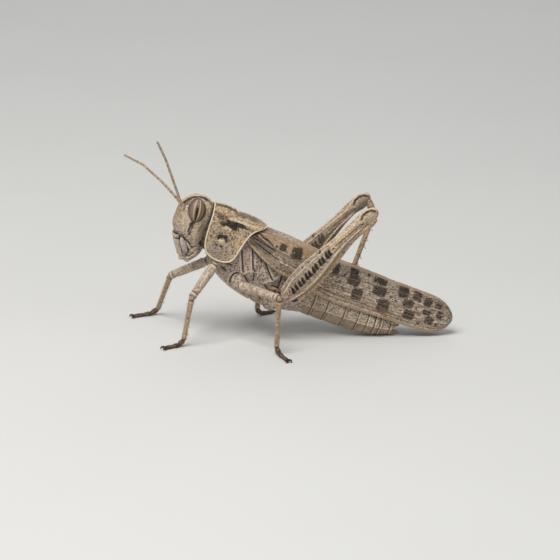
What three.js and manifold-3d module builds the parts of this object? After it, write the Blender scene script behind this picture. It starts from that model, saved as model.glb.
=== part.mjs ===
// A desert locust, life size, standing on its four walking feet, its right hind foot and the tip of
// its tail. Millimetres. The head points to -X, the tail to +X, the animal's left side to -Y, and +Z
// is up from the floor.
import * as THREE from 'three';
import { mergeVertices } from 'three/addons/utils/BufferGeometryUtils.js';
import Module from 'manifold-3d';

const wasm = await Module();
wasm.setup();

// ---------------------------------------------------------------- driving dimensions
const GAP = 0.15; // clear space left between neighbouring plates
const CROWN_Z = 29.3; // top of the head above the floor
const GENA_Z = 19.3; // lowest point of the cheeks
const MOUTH_Z = 15.3; // lowest point of the labrum
const WING_THICKNESS = 0.5;
const PRONOTUM_THICKNESS = 0.55;
const UNDER_PRONOTUM = 3.2; // depth of the space under the pronotum that the wings stay out of
const FEMUR_LENGTH = 26.2; // hind femur, from its root to the knee
const FEMUR_PITCH = THREE.MathUtils.degToRad(46.5); // slope of the folded hind femur
const HIND_LEG_Y = 5.6; // the hind femora lie this far from the middle plane
const WING_PITCH = THREE.MathUtils.degToRad(21); // slope of the folded wings
const WING_LENGTH = 46.8;
const WING_PARTING = 0.12; // half the gap between the folded wings along the back
const FOOT_RADIUS = 0.5;
const FLOOR_Z = 0;

const SHELL = { color: 0xb39c80, roughness: 0.7, metalness: 0 };
const PALE_SHELL = { color: 0xcbb08a, roughness: 0.65, metalness: 0 };
const BELLY = { color: 0xa8977a, roughness: 0.7, metalness: 0 };
const EYE = { color: 0x6a4f38, roughness: 0.3, metalness: 0 };
const WING = { color: 0xa89077, roughness: 0.6, metalness: 0 };
const FOOT = { color: 0x6e5238, roughness: 0.6, metalness: 0 };

// ---------------------------------------------------------------- small helpers
const at = (x, y, z) => new THREE.Vector3(x, y, z);
const UP = at(0, 0, 1);
const SIDEWAYS = at(0, 1, 0);

/** A smooth function through a few [place, value] pairs that never overshoots them. */
function through(pairs) {
  const gaps = pairs.slice(1).map((pair, i) => pair[0] - pairs[i][0]);
  const slopes = gaps.map((gap, i) => (pairs[i + 1][1] - pairs[i][1]) / gap);
  const tangents = pairs.map((_, i) => {
    if (i === 0) return slopes[0];
    if (i === slopes.length) return slopes[i - 1];
    const product = slopes[i - 1] * slopes[i];
    return product <= 0 ? 0 : (2 * product) / (slopes[i - 1] + slopes[i]);
  });
  return (place) => {
    let i = 0;
    while (i < slopes.length - 1 && place > pairs[i + 1][0]) i += 1;
    const t = THREE.MathUtils.clamp((place - pairs[i][0]) / gaps[i], 0, 1);
    const [a, b] = [pairs[i][1], pairs[i + 1][1]];
    const bend = gaps[i] * (tangents[i] * (1 - t) - tangents[i + 1] * t);
    return a + (b - a) * t * t * (3 - 2 * t) + t * (1 - t) * bend;
  };
}

/** A smooth curve in the middle plane through [x, z] points. */
function sideCurve(points) {
  const curve = new THREE.CatmullRomCurve3(points.map(([x, z]) => at(x, 0, z)), false, 'centripetal');
  return (t) => curve.getPoint(THREE.MathUtils.clamp(t, 0, 1));
}

/** A closed solid from a geometry, with its shared corners merged and its faces turned outwards. */
function solid(geometry) {
  geometry.deleteAttribute('normal');
  geometry.deleteAttribute('uv');
  const welded = mergeVertices(geometry, 1e-4);
  const corners = welded.attributes.position;
  const triangles = [];
  let volume = 0;
  const [a, b, c] = [at(0, 0, 0), at(0, 0, 0), at(0, 0, 0)];
  for (let i = 0; i < welded.index.count; i += 3) {
    const [p, q, r] = [0, 1, 2].map((k) => welded.index.getX(i + k));
    if (p === q || q === r || r === p) continue;
    triangles.push([p, q, r]);
    a.fromBufferAttribute(corners, p);
    b.fromBufferAttribute(corners, q);
    c.fromBufferAttribute(corners, r);
    volume += a.dot(b.cross(c));
  }
  const turned = volume < 0 ? triangles.map(([p, q, r]) => [p, r, q]) : triangles;
  const mesh = new wasm.Mesh({
    numProp: 3,
    vertProperties: new Float32Array(corners.array),
    triVerts: new Uint32Array(turned.flat()),
  });
  return new wasm.Manifold(mesh);
}

/** A cylinder whose rings are moved on to the sections of section(t), with t from 0 at its root to 1. */
function loft(sides, steps, section) {
  const geometry = new THREE.CylinderGeometry(1, 1, 1, sides, steps);
  const place = geometry.attributes.position;
  for (let i = 0; i < place.count; i += 1) {
    const ring = section(0.5 - place.getY(i));
    const reach = Math.hypot(place.getX(i), place.getZ(i));
    const angle = Math.atan2(place.getZ(i), place.getX(i));
    const bow = 2 / (ring.power ?? 2);
    const side = Math.cos(angle);
    const lift = Math.sin(angle);
    const across = ring.width * Math.sign(side) * Math.abs(side) ** bow * reach;
    const height = (lift > 0 ? ring.rise : ring.drop) * Math.sign(lift) * Math.abs(lift) ** bow * reach;
    const point = ring.centre.clone().addScaledVector(ring.right, across).addScaledVector(ring.up, height);
    place.setXYZ(i, point.x, point.y, point.z);
  }
  return solid(geometry);
}

/** A thin curved plate: point(u, v) is its outer face, and its inner face lies `thickness` behind. */
function plate(across, along, thickness, point, inward) {
  const geometry = new THREE.BoxGeometry(1, 1, 1, across, along, 1);
  const place = geometry.attributes.position;
  const step = 1e-3;
  for (let i = 0; i < place.count; i += 1) {
    const u = place.getX(i) + 0.5;
    const v = place.getY(i) + 0.5;
    const outer = point(u, v);
    const du = point(u + (u < 0.5 ? step : -step), v).sub(outer).multiplyScalar(u < 0.5 ? 1 : -1);
    const dv = point(u, v + (v < 0.5 ? step : -step)).sub(outer).multiplyScalar(v < 0.5 ? 1 : -1);
    const normal = du.cross(dv).normalize().multiplyScalar(inward);
    if (place.getZ(i) < 0) outer.addScaledVector(normal, thickness);
    place.setXYZ(i, outer.x, outer.y, outer.z);
  }
  return solid(geometry);
}

/** A limb along a smooth path. size(t) gives its half width, and its rise above and drop below the path. */
function limb(points, sides, steps, size, grow = 0) {
  const path = new THREE.CatmullRomCurve3(points, false, 'centripetal');
  const chord = points[points.length - 1].clone().sub(points[0]);
  const across = UP.clone().cross(chord);
  if (across.length() < 0.1 * chord.length()) across.copy(SIDEWAYS);
  return loft(sides, steps, (t) => {
    const tangent = path.getTangent(t);
    const up = tangent.clone().cross(across).normalize();
    const right = up.clone().cross(tangent).normalize();
    const { width, rise = width, drop = rise, power } = size(t);
    const centre = path.getPoint(t);
    return { centre, right, up, power, width: width + grow, rise: rise + grow, drop: drop + grow };
  });
}

/** An ellipsoid with the given half axes, leant about Y and then rolled about X. */
function bulb(centre, [a, b, c], lean, roll, sides, rings) {
  const geometry = new THREE.SphereGeometry(1, sides, rings);
  geometry.rotateX(Math.PI / 2);
  geometry.scale(a, b, c);
  geometry.rotateY(lean);
  geometry.rotateX(roll);
  geometry.translate(centre.x, centre.y, centre.z);
  return solid(geometry);
}

function floorBlock() {
  const geometry = new THREE.BoxGeometry(200, 200, 20);
  geometry.translate(0, 0, FLOOR_Z - 10);
  return solid(geometry);
}

/** The main body of a piece once all the others have been cut away from it. */
function less(piece, ...others) {
  const bodies = others.reduce((rest, other) => rest.subtract(other), piece).decompose();
  return bodies.reduce((main, body) => (body.volume() > main.volume() ? body : main));
}

function mesh(name, piece, material) {
  const { vertProperties, triVerts } = piece.getMesh();
  const geometry = new THREE.BufferGeometry();
  geometry.setAttribute('position', new THREE.BufferAttribute(vertProperties, 3));
  geometry.setIndex(new THREE.BufferAttribute(triVerts, 1));
  geometry.computeVertexNormals();
  const made = new THREE.Mesh(geometry, new THREE.MeshStandardMaterial(material));
  made.name = name;
  return made;
}

const SIDES = [['left', -1], ['right', 1]];

// ---------------------------------------------------------------- head
const faceX = through([
  [15.3, -19.5], [16.8, -20.5], [18.2, -21.1], [19.9, -21.7], [21.6, -21.95],
  [23.5, -21.85], [25.3, -21.5], [27, -20.8], [28, -20.1], [28.8, -18.9], [29.3, -17.4],
]);
const cheekX = through([[GENA_Z, -18.9], [20.0, -19.4], [20.9, -20.1], [21.7, -21.9]]);
const napeX = through([
  [GENA_Z, -17.7], [20.3, -16.6], [21.7, -15.4], [23.5, -14.2], [25.5, -13.6], [27.4, -13.8],
  [28.7, -15.1], [29.3, -16.9],
]);
const headHalfWidth = through([
  [GENA_Z, 2.3], [20, 2.95], [21.5, 3.25], [24.5, 3.2], [26.5, 2.75], [28, 2.0], [28.9, 1.3], [29.3, 0.35],
]);

function headCapsule(grow = 0) {
  const height = CROWN_Z - GENA_Z;
  return loft(14, 10, (t) => {
    const z = GENA_Z + height * Math.sin((t * Math.PI) / 2);
    const front = z < 21.7 ? cheekX(z) : faceX(z);
    const back = napeX(z);
    const end = t === 0 ? -grow : t === 1 ? grow : 0;
    const reach = (back - front) / 2 + grow;
    return {
      centre: at((front + back) / 2, 0, z + end), right: SIDEWAYS, up: at(1, 0, 0),
      width: headHalfWidth(z) + grow, rise: reach, drop: reach, power: 2.3,
    };
  });
}

const eye = (side, grow = 0) => bulb(
  at(-17.25, side * 2.55, 26.65), [1.72 + grow, 1.3 + grow, 2.3 + grow], 0.2, side * 0.22, 12, 8,
);

function clypeusLabrum(grow = 0) {
  const top = 21.4;
  const halfWidth = through([[MOUTH_Z, 0.8], [16.4, 1.25], [18.2, 1.5], [20, 1.75], [top, 1.85]]);
  return loft(10, 5, (t) => {
    const z = MOUTH_Z + (top - MOUTH_Z) * t;
    const depth = 0.7 + 0.2 * t + grow;
    const end = t === 0 ? -grow : t === 1 ? grow : 0;
    return {
      centre: at(faceX(z) + 0.7 + 0.2 * t, 0, z + end), right: SIDEWAYS, up: at(1, 0, 0),
      width: halfWidth(z) + grow, rise: depth, drop: depth, power: 2.5,
    };
  });
}

const mandible = (side, grow = 0) =>
  bulb(at(-19.6, side * 1.9, 19.5), [1.1 + grow, 1.0 + grow, 2.2 + grow], -0.33, side * 0.12, 10, 6);

/** A maxilla's blade with its feeler outside it. */
function maxilla(side, grow = 0) {
  const blade = [at(-17.2, side * 1.9, 19.0), at(-18.0, side * 1.8, 17.2), at(-19.5, side * 1.1, 15.9)];
  const bladeSize = through([[0, 0.85], [0.5, 0.75], [1, 0.35]]);
  const feeler = [at(-17.6, side * 2.2, 17.9), at(-18.5, side * 2.75, 16.6), at(-19.8, side * 2.4, 16.0),
    at(-20.7, side * 1.9, 16.4)];
  const feelerSize = 0.3;
  return limb(blade, 6, 3, (t) => ({ width: bladeSize(t) }), grow)
    .add(limb(feeler, 5, 4, () => ({ width: feelerSize }), grow));
}

function labium() {
  const size = through([[0, 0.9], [0.5, 0.75], [1, 0.3]]);
  return limb([at(-15.9, 0, 19.2), at(-17.0, 0, 17.2), at(-18.4, 0, 15.7)], 8, 4, (t) => (
    { width: size(t) * 1.25, rise: size(t) * 0.7 }
  ));
}

const ANTENNA_PATHS = {
  left: [at(-19.6, -1.3, 26.6), at(-20.6, -1.65, 28.4), at(-21.9, -2.1, 32.0), at(-23.7, -3.0, 37.0),
    at(-25.6, -3.9, 41.0)],
  right: [at(-19.8, 1.3, 26.4), at(-21.2, 1.7, 28.2), at(-23.9, 2.7, 31.0), at(-27.6, 4.6, 34.0),
    at(-31.3, 6.6, 35.5)],
};

function antenna(name) {
  const size = through([[0, 0.42], [0.1, 0.42], [0.14, 0.3], [0.9, 0.28], [1, 0.25]]);
  return limb(ANTENNA_PATHS[name], 6, 15, (t) => ({ width: size(t) }));
}

// ---------------------------------------------------------------- trunk and abdomen
const trunkFloor = sideCurve([
  [-15.0, 17.4], [-13.2, 13.2], [-10.4, 10.3], [-7.2, 8.1], [-3.6, 6.3], [0, 5.5], [3.4, 4.9],
]);
const trunkRoof = sideCurve([
  [-13.4, 26.6], [-11.6, 26.0], [-8.6, 24.4], [-5.0, 22.3], [-1.0, 20.4], [3.0, 18.0], [6.6, 15.9],
]);
const trunkHalfWidth = through([[0, 2.3], [0.15, 2.75], [0.3, 3.45], [0.5, 3.75], [0.7, 3.55], [1, 3.0]]);
const WIDEST = 0.42; // the height of a body section's widest level, as a share of the section

/** A body section between a low and a high point, widest a little below its middle. */
function bodySection(low, high, halfWidth, power) {
  const up = high.clone().sub(low);
  const height = up.length();
  return {
    centre: low.clone().addScaledVector(up, WIDEST), right: SIDEWAYS, up: up.normalize(), power,
    width: halfWidth, rise: height * (1 - WIDEST), drop: height * WIDEST,
  };
}

/** The thorax between two stations, 0 at the neck and 1 at the waist. */
function trunk(from, to, steps, grow = 0) {
  return loft(14, steps, (t) => {
    const s = from + (to - from) * t;
    const section = bodySection(trunkFloor(s), trunkRoof(s), trunkHalfWidth(s) + grow, 2.4);
    section.rise += grow;
    section.drop += grow;
    return section;
  });
}

const TRUNK_GAP = 0.006; // GAP as a share of the trunk's own length
const PROTHORAX_END = 0.3;
const MESOTHORAX_END = 0.55;

const abdomenFloor = sideCurve([
  [3.7, 4.8], [6.2, 3.9], [9.0, 2.85], [12.5, 1.65], [15.5, 0.65], [18.5, 0.05], [20.5, 0.0], [22.6, 0.0],
]);
const abdomenRoof = sideCurve([
  [7.0, 15.4], [9.0, 13.4], [11.5, 11.0], [14.5, 8.9], [17.5, 7.0], [20.0, 5.3], [21.8, 4.2], [23.4, 2.9],
]);
const abdomenHalfWidth = through([[0, 2.95], [0.3, 3.0], [0.6, 2.7], [0.85, 2.2], [1, 1.4]]);
const SEGMENT_ENDS = [0, 0.14, 0.28, 0.43, 0.56, 0.655, 0.745, 0.83, 1];
const SEGMENT_GAP = 0.006; // GAP as a share of the abdomen's length
const SEGMENT_FLARE = 0.12; // how far a segment's rear edge stands out beyond its front edge

/** One ring of the abdomen, a little wider at its rear edge than where the next one starts. */
function abdomenSegment(number, grow = 0) {
  const from = SEGMENT_ENDS[number - 1];
  const to = SEGMENT_ENDS[number] - SEGMENT_GAP;
  return loft(14, 1, (t) => {
    const s = from + (to - from) * t;
    const swell = SEGMENT_FLARE * (t - 1) + grow;
    const section = bodySection(abdomenFloor(s), abdomenRoof(s), abdomenHalfWidth(s) + swell, 2.2);
    section.rise += swell;
    section.drop += swell;
    return section;
  });
}

function ovipositorValve(name) {
  const upper = name === 'upper';
  const z = upper ? [1.95, 1.85, 2.0] : [0.75, 0.6, 0.5];
  const path = [at(21.4, 0, z[0]), at(23.2, 0, z[1]), at(24.5, 0, z[2])];
  const size = through([[0, 1], [0.5, 0.9], [1, 0.25]]);
  return limb(path, 6, 3, (t) => ({ width: size(t) * 0.95, rise: size(t) * 0.55 }));
}

function cercus(side) {
  const path = [at(21.6, side * 1.2, 3.3), at(22.7, side * 1.45, 2.95), at(23.6, side * 1.5, 2.75)];
  return limb(path, 5, 1, (t) => ({ width: 0.4 - 0.15 * t }));
}

// ---------------------------------------------------------------- pronotum
const shieldFront = sideCurve([
  [-13.5, 27.55], [-13.95, 26.1], [-14.6, 24.2], [-15.3, 21.9], [-15.75, 19.4], [-15.2, 18.1],
]);
const shieldRear = sideCurve([
  [-3.05, 22.75], [-4.8, 22.75], [-6.3, 22.5], [-7.5, 21.1], [-8.8, 19.05], [-9.95, 16.9],
]);
const shieldTop = sideCurve([
  [-13.5, 27.55], [-11.5, 27.1], [-9.6, 26.25], [-8.7, 25.65], [-6.9, 25.05], [-4.6, 24.0], [-3.05, 22.75],
]);
const shieldHem = sideCurve([[-15.2, 18.1], [-13.9, 17.15], [-12.4, 16.55], [-10.8, 16.35], [-9.95, 16.9]]);
const shieldHalfWidth = through([[0, 3.75], [0.3, 3.85], [0.5, 4.0], [1, 4.55]]);

/** A point of the pronotum's outer face: u runs from front rim to rear, v from hem to hem over the keel. */
function shieldPoint(u, v) {
  const side = v < 0.5 ? -1 : 1;
  const angle = (Math.abs(2 * v - 1) * Math.PI) / 2;
  const bow = 2 / 2.6;
  const t = 1 - Math.cos(angle) ** bow;
  const along = shieldFront(t).multiplyScalar(1 - u).addScaledVector(shieldRear(t), u);
  const down = shieldTop(u).multiplyScalar(1 - t).addScaledVector(shieldHem(u), t);
  const corners = at(0, 0, 0)
    .addScaledVector(shieldTop(0), (1 - u) * (1 - t)).addScaledVector(shieldTop(1), u * (1 - t))
    .addScaledVector(shieldHem(0), (1 - u) * t).addScaledVector(shieldHem(1), u * t);
  const point = along.add(down).sub(corners);
  point.y = side * shieldHalfWidth(u) * Math.sin(angle) ** bow;
  return point;
}

const pronotumPlate = () => plate(8, 14, PRONOTUM_THICKNESS, shieldPoint, -1);

/** The space that the pronotum takes, with all that lies under its rear edge. */
function underPronotum() {
  const reach = (u, v) => shieldPoint(u, v).add(at(GAP * u, 0, 0));
  return plate(8, 14, UNDER_PRONOTUM, reach, -1);
}

// ---------------------------------------------------------------- wings
const wingRoot = at(-7.2, 0, 23.2);
const wingAlong = at(Math.cos(WING_PITCH), 0, -Math.sin(WING_PITCH));
const wingUp = at(Math.sin(WING_PITCH), 0, Math.cos(WING_PITCH));
const wingTopEdge = through([
  [0, -0.2], [4.2, 0.5], [9.2, 0.55], [12.6, 0.3], [20, -0.35], [25, -0.25], [33, -0.4], [40, -0.25],
  [WING_LENGTH, -0.2],
]);
const wingLowEdge = through([
  [0, -1.6], [1, -2.45], [2.5, -3.5], [5.5, -4.9], [8.1, -5.9], [10.6, -6.4], [17, -7.5], [22.4, -8.05],
  [30, -7.85], [38, -7.6], [WING_LENGTH, -7.3],
]);
const wingHalfWidth = through([
  [0, 4.2], [5, 4.35], [10, 4.3], [14, 4.0], [22, 3.5], [28, 3.0], [34, 2.5], [40, 2.0], [WING_LENGTH, 1.4],
]);
const WING_TIP_START = 41;
const WING_TIP_RADIUS = 6.1;

/** A point of a fore wing's outer face: u runs from root to tip, v from mid-back down to the low edge. */
function wingPoint(side, u, v) {
  const a = WING_LENGTH * u;
  const top = wingTopEdge(a);
  const low = wingLowEdge(a);
  const middle = (low + top) / 2;
  const tip = Math.sqrt(1 - (Math.max(0, a - WING_TIP_START) / WING_TIP_RADIUS) ** 2);
  const angle = (v * Math.PI) / 2;
  const bow = 2 / 3.2;
  const height = low + (top - low) * Math.cos(angle) ** bow;
  const point = wingRoot.clone().addScaledVector(wingAlong, a);
  point.addScaledVector(wingUp, middle + (height - middle) * tip);
  point.y = side * (WING_PARTING + (wingHalfWidth(a) - WING_PARTING) * Math.sin(angle) ** bow);
  return point;
}

const tegmen = (side) => plate(14, 6, WING_THICKNESS, (u, v) => wingPoint(side, u, v), -side);

// ---------------------------------------------------------------- legs
/** Root, knee, ankle and toe of each walking leg. */
const walkingLeg = (root, knee, ankle, toe) => (
  { root: at(...root), knee: at(...knee), ankle: at(...ankle), toe: at(...toe) }
);
const WALKING_LEGS = {
  fore_left: walkingLeg([-13.3, -2.9, 15.9], [-18.3, -7.6, 10.2], [-19.7, -7.4, 1.2], [-23.4, -9.4, 0.4]),
  fore_right: walkingLeg([-13.7, 2.9, 14.9], [-21.3, 8.3, 9.9], [-23.3, 13.2, 1.2], [-28.2, 11.2, 0.4]),
  mid_left: walkingLeg([-8.9, -4.3, 11.8], [-1.6, -12.7, 11.6], [-1.7, -12.3, 1.2], [-0.1, -17.4, 0.4]),
  mid_right: walkingLeg([-8.9, 4.3, 11.8], [-2.4, 12.6, 11.4], [-3.0, 12.2, 1.2], [0.3, 13.9, 0.4]),
};

/** A point part of the way from one to another. */
const between = (a, b, t) => a.clone().lerp(b, t);

/** The hip: a blunt knob that stands out from the side of the thorax. */
const coxa = (root, side, [a, b, c], grow = 0) => {
  const centre = at(root.x + 0.2, root.y - side * 0.75, root.z + 0.35);
  return bulb(centre, [a + grow, b + grow, c + grow], -0.3, side * 0.3, 8, 5);
};
const COXA_SIZES = { fore: [1.25, 1.5, 1.6], mid: [1.5, 1.6, 1.75], hind: [1.9, 1.3, 1.6] };

/** The hind hip with the short link that carries the thigh. */
function hindHip(side, grow = 0) {
  const link = [at(-2.0, side * 4.1, 7.9), at(-0.5, side * 5.4, 8.4)];
  const knob = coxa(at(-2.2, side * 4.35, 7.65), side, COXA_SIZES.hind, grow);
  return knob.add(limb(link, 6, 1, () => ({ width: 0.75 }), grow));
}

function walkingFemur(leg, grow = 0) {
  const size = through([[0, 0.7], [0.2, 0.98], [0.6, 0.9], [0.88, 0.82], [0.96, 0.8], [1, 0.45]]);
  const beyondKnee = 0.35;
  const end = leg.knee.clone().addScaledVector(leg.knee.clone().sub(leg.root).normalize(), beyondKnee);
  const path = [leg.root, between(leg.root, end, 0.5), end];
  return limb(path, 8, 5, (t) => ({ width: size(t) * 0.9, rise: size(t) * 1.1 }), grow);
}

function walkingTibia(leg, grow = 0) {
  const size = through([[0, 0.62], [0.1, 0.57], [0.5, 0.5], [0.9, 0.52], [1, 0.45]]);
  const path = [leg.knee, between(leg.knee, leg.ankle, 0.5), leg.ankle];
  return limb(path, 6, 4, (t) => ({ width: size(t) }), grow);
}

const padSize = through([
  [0, 0.42], [0.15, 0.5], [0.3, 0.36], [0.45, 0.46], [0.6, 0.32], [0.85, 0.34], [1, 0.4],
]);

/** A pair of claws that curve down from the end of a foot. */
function claws(end, heading, drop) {
  const outward = at(-heading.y, heading.x, 0);
  return [-1, 1].map((side) => {
    const reach = (ahead, aside, above) => end.clone()
      .addScaledVector(heading, ahead).addScaledVector(outward, side * aside).add(at(0, 0, above));
    const path = [end, reach(0.45, 0.45, 0.2), reach(0.75, 0.55, -drop)];
    return limb(path, 3, 2, (t) => ({ width: 0.3 - 0.1 * t }));
  });
}

/** Three pads in a row and a pair of claws, flat where they stand. */
function tarsus(ankle, toe) {
  const heel = between(ankle, toe, 0.3).setZ(FOOT_RADIUS * 0.9);
  const middle = between(ankle, toe, 0.62).setZ(FOOT_RADIUS * 0.8);
  const end = toe.clone().setZ(FOOT_RADIUS * 0.75);
  const heading = toe.clone().sub(ankle).setZ(0).normalize();
  const foot = limb([ankle, heel, middle, end], 6, 7, (t) => ({ width: padSize(t) }));
  return less(claws(end, heading, 0.25).reduce((whole, claw) => whole.add(claw), foot), floorBlock());
}

const femurAlong = at(Math.cos(FEMUR_PITCH), 0, Math.sin(FEMUR_PITCH));
const femurUp = at(-Math.sin(FEMUR_PITCH), 0, Math.cos(FEMUR_PITCH));
const femurRoot = (side) => at(0.1, side * HIND_LEG_Y, 8.85);
/** A point beside the hind femur: along it from its root, and above its axis. */
const byFemur = (side, along, above, outward = 0) => femurRoot(side)
  .addScaledVector(femurAlong, along).addScaledVector(femurUp, above).add(at(0, side * outward, 0));

const femurRise = through([
  [0, 0.5], [1.2, 1.9], [4.4, 2.7], [8.3, 2.75], [12, 2.35], [14.8, 1.95], [18, 1.75], [21.5, 1.8],
  [24.2, 1.6], [25.6, 0.95], [FEMUR_LENGTH, 0.3],
]);
const femurDrop = through([
  [0, 0.45], [1.9, 1.45], [4.4, 2.1], [7.5, 2.25], [11.1, 1.9], [14.7, 1.45], [18.5, 0.85], [21.5, 0.75],
  [23.6, 1.3], [25.4, 1.1], [FEMUR_LENGTH, 0.4],
]);
const femurHalfThickness = through([
  [0, 0.5], [1.5, 1.0], [5, 1.25], [9, 1.25], [14, 0.95], [19, 0.72], [22, 0.8], [24.5, 0.92],
  [FEMUR_LENGTH, 0.35],
]);

function hindFemur(side, grow = 0) {
  return loft(10, 13, (t) => {
    const s = FEMUR_LENGTH * (t - Math.sin(2 * Math.PI * t) * 0.05);
    return {
      centre: byFemur(side, s, 0), right: SIDEWAYS, up: femurUp, power: 2.2,
      width: femurHalfThickness(s) + grow, rise: femurRise(s) + grow, drop: femurDrop(s) + grow,
    };
  });
}

/** The left shin lies folded along the thigh, at these distances along and above the thigh's axis. */
const FOLDED_TIBIA = [
  [24.6, -1.1], [22.4, -1.25], [20, -0.9], [17.5, -1.0], [14, -1.6], [11, -2.15], [8, -2.45], [5, -2.4],
  [2.2, -1.75],
];
const ankles = { left: byFemur(-1, 2.2, -1.75), right: at(13.2, 6.7, 2.8) };
const tibiaPaths = {
  left: FOLDED_TIBIA.map(([along, above]) => byFemur(-1, along, above)),
  right: [
    byFemur(1, 25.2, -0.6), at(19.1, 5.7, 24), at(18.4, 5.85, 21), at(15.9, 6.2, 13.2), ankles.right,
  ],
};
const toes = { left: at(-4.0, -5.5, 11.0), right: at(19.8, 7.5, 0.4) };

const SPINES_PER_ROW = 6;
const SPINE_ROWS = { start: 0.3, end: 0.94 }; // as shares of the shin's length
/** How far the spines stand out from the shin and how far they lean towards its foot. */
const SPINE_STANCE = { left: { out: 0.3, lean: 0.9 }, right: { out: 1.1, lean: 0.5 } };

function hindShin(name, grow = 0) {
  const size = through([[0, 0.7], [0.05, 0.85], [0.12, 0.6], [0.5, 0.5], [0.94, 0.54], [1, 0.55]]);
  return limb(tibiaPaths[name], 6, 8, (t) => ({ width: size(t) * 0.95, rise: size(t) }), grow);
}

function hindTibia(name) {
  const curve = new THREE.CatmullRomCurve3(tibiaPaths[name], false, 'centripetal');
  const { out, lean } = SPINE_STANCE[name];
  let whole = hindShin(name);
  for (let i = 0; i < SPINES_PER_ROW * 2; i += 1) {
    const share = Math.floor(i / 2) / (SPINES_PER_ROW - 1);
    const t = THREE.MathUtils.lerp(SPINE_ROWS.start, SPINE_ROWS.end, share);
    const tangent = curve.getTangent(t);
    const back = tangent.clone().cross(SIDEWAYS).normalize();
    const outward = i % 2 === 0 ? -1 : 1;
    const foot = curve.getPoint(t).addScaledVector(SIDEWAYS, outward * 0.2).addScaledVector(back, 0.15);
    const tip = foot.clone().addScaledVector(back, out).addScaledVector(tangent, lean)
      .addScaledVector(SIDEWAYS, outward * 0.3);
    whole = whole.add(limb([foot, tip], 3, 1, (k) => ({ width: 0.28 - 0.13 * k })));
  }
  return whole;
}

/** The left hind foot is drawn up between the thigh and the body. */
function foldedTarsus() {
  const { left: end } = toes;
  const path = [ankles.left, at(2.2, -4.7, 8.9), at(0.9, -4.15, 9.7), at(-1.5, -4.55, 10.4), end];
  const foot = limb(path, 6, 8, (t) => ({ width: padSize(t) }));
  const heading = end.clone().sub(path[3]).normalize();
  return claws(end, heading, 0.35).reduce((whole, claw) => whole.add(claw), foot);
}

// ---------------------------------------------------------------- assembly
const locust = new THREE.Group();
const headGroup = new THREE.Group();
const thoraxGroup = new THREE.Group();
const abdomenGroup = new THREE.Group();
const wingGroup = new THREE.Group();
const legGroup = new THREE.Group();
locust.add(headGroup, thoraxGroup, abdomenGroup, wingGroup, legGroup);

const floor = floorBlock();
const grownHead = headCapsule(GAP);
const grownTrunk = trunk(0, 1, 9, GAP);
const grownLabrum = clypeusLabrum(GAP);
const grownEyes = SIDES.map(([, side]) => eye(side, GAP));
const grownMandibles = SIDES.map(([, side]) => mandible(side, GAP));
const grownMaxillae = SIDES.map(([, side]) => maxilla(side, GAP));

headGroup.add(mesh('head', less(headCapsule(), ...grownEyes, grownLabrum, ...grownMandibles), SHELL));
headGroup.add(mesh('clypeus_labrum', clypeusLabrum(), SHELL));
SIDES.forEach(([name, side], i) => {
  const jaw = less(mandible(side), grownLabrum, grownMandibles[1 - i]);
  const feelers = less(maxilla(side), grownHead, grownLabrum, ...grownMandibles);
  headGroup.add(mesh(`eye_${name}`, eye(side), EYE));
  headGroup.add(mesh(`antenna_${name}`, less(antenna(name), grownHead), PALE_SHELL));
  headGroup.add(mesh(`mandible_${name}`, jaw, SHELL));
  headGroup.add(mesh(`maxilla_${name}`, feelers, SHELL));
});
const lip = less(labium(), grownHead, grownLabrum, ...grownMandibles, ...grownMaxillae);
headGroup.add(mesh('labium', lip, SHELL));

const shield = less(pronotumPlate(), grownHead, grownTrunk);
thoraxGroup.add(mesh('pronotum', shield, PALE_SHELL));
thoraxGroup.add(mesh('prothorax', less(trunk(0, PROTHORAX_END - TRUNK_GAP, 4), grownHead), SHELL));
thoraxGroup.add(mesh('mesothorax', trunk(PROTHORAX_END, MESOTHORAX_END - TRUNK_GAP, 4), SHELL));
thoraxGroup.add(mesh('metathorax', trunk(MESOTHORAX_END, 1 - TRUNK_GAP, 5), SHELL));

const SEGMENTS = SEGMENT_ENDS.length - 1;
const grownLastSegment = abdomenSegment(SEGMENTS, GAP);
for (let number = 1; number <= SEGMENTS; number += 1) {
  abdomenGroup.add(mesh(`abdomen_segment_${number}`, less(abdomenSegment(number), floor), BELLY));
}
['upper', 'lower'].forEach((name) => {
  abdomenGroup.add(mesh(`ovipositor_${name}`, less(ovipositorValve(name), grownLastSegment, floor), BELLY));
});
SIDES.forEach(([name, side]) => {
  abdomenGroup.add(mesh(`cercus_${name}`, less(cercus(side), grownLastSegment), BELLY));
});

SIDES.forEach(([name, side]) => {
  wingGroup.add(mesh(`tegmen_${name}`, less(tegmen(side), grownTrunk, underPronotum()), WING));
});

Object.entries(WALKING_LEGS).forEach(([name, leg]) => {
  const side = Math.sign(leg.root.y);
  const size = COXA_SIZES[name.split('_')[0]];
  const hip = less(coxa(leg.root, side, size), grownTrunk, grownHead, shield);
  const grownHip = coxa(leg.root, side, size, GAP);
  legGroup.add(mesh(`coxa_${name}`, hip, SHELL));
  legGroup.add(mesh(`femur_${name}`, less(walkingFemur(leg), grownHip, grownTrunk, shield), SHELL));
  legGroup.add(mesh(`tibia_${name}`, less(walkingTibia(leg), walkingFemur(leg, GAP)), SHELL));
  legGroup.add(mesh(`tarsus_${name}`, less(tarsus(leg.ankle, leg.toe), walkingTibia(leg, GAP)), FOOT));
});

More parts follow.
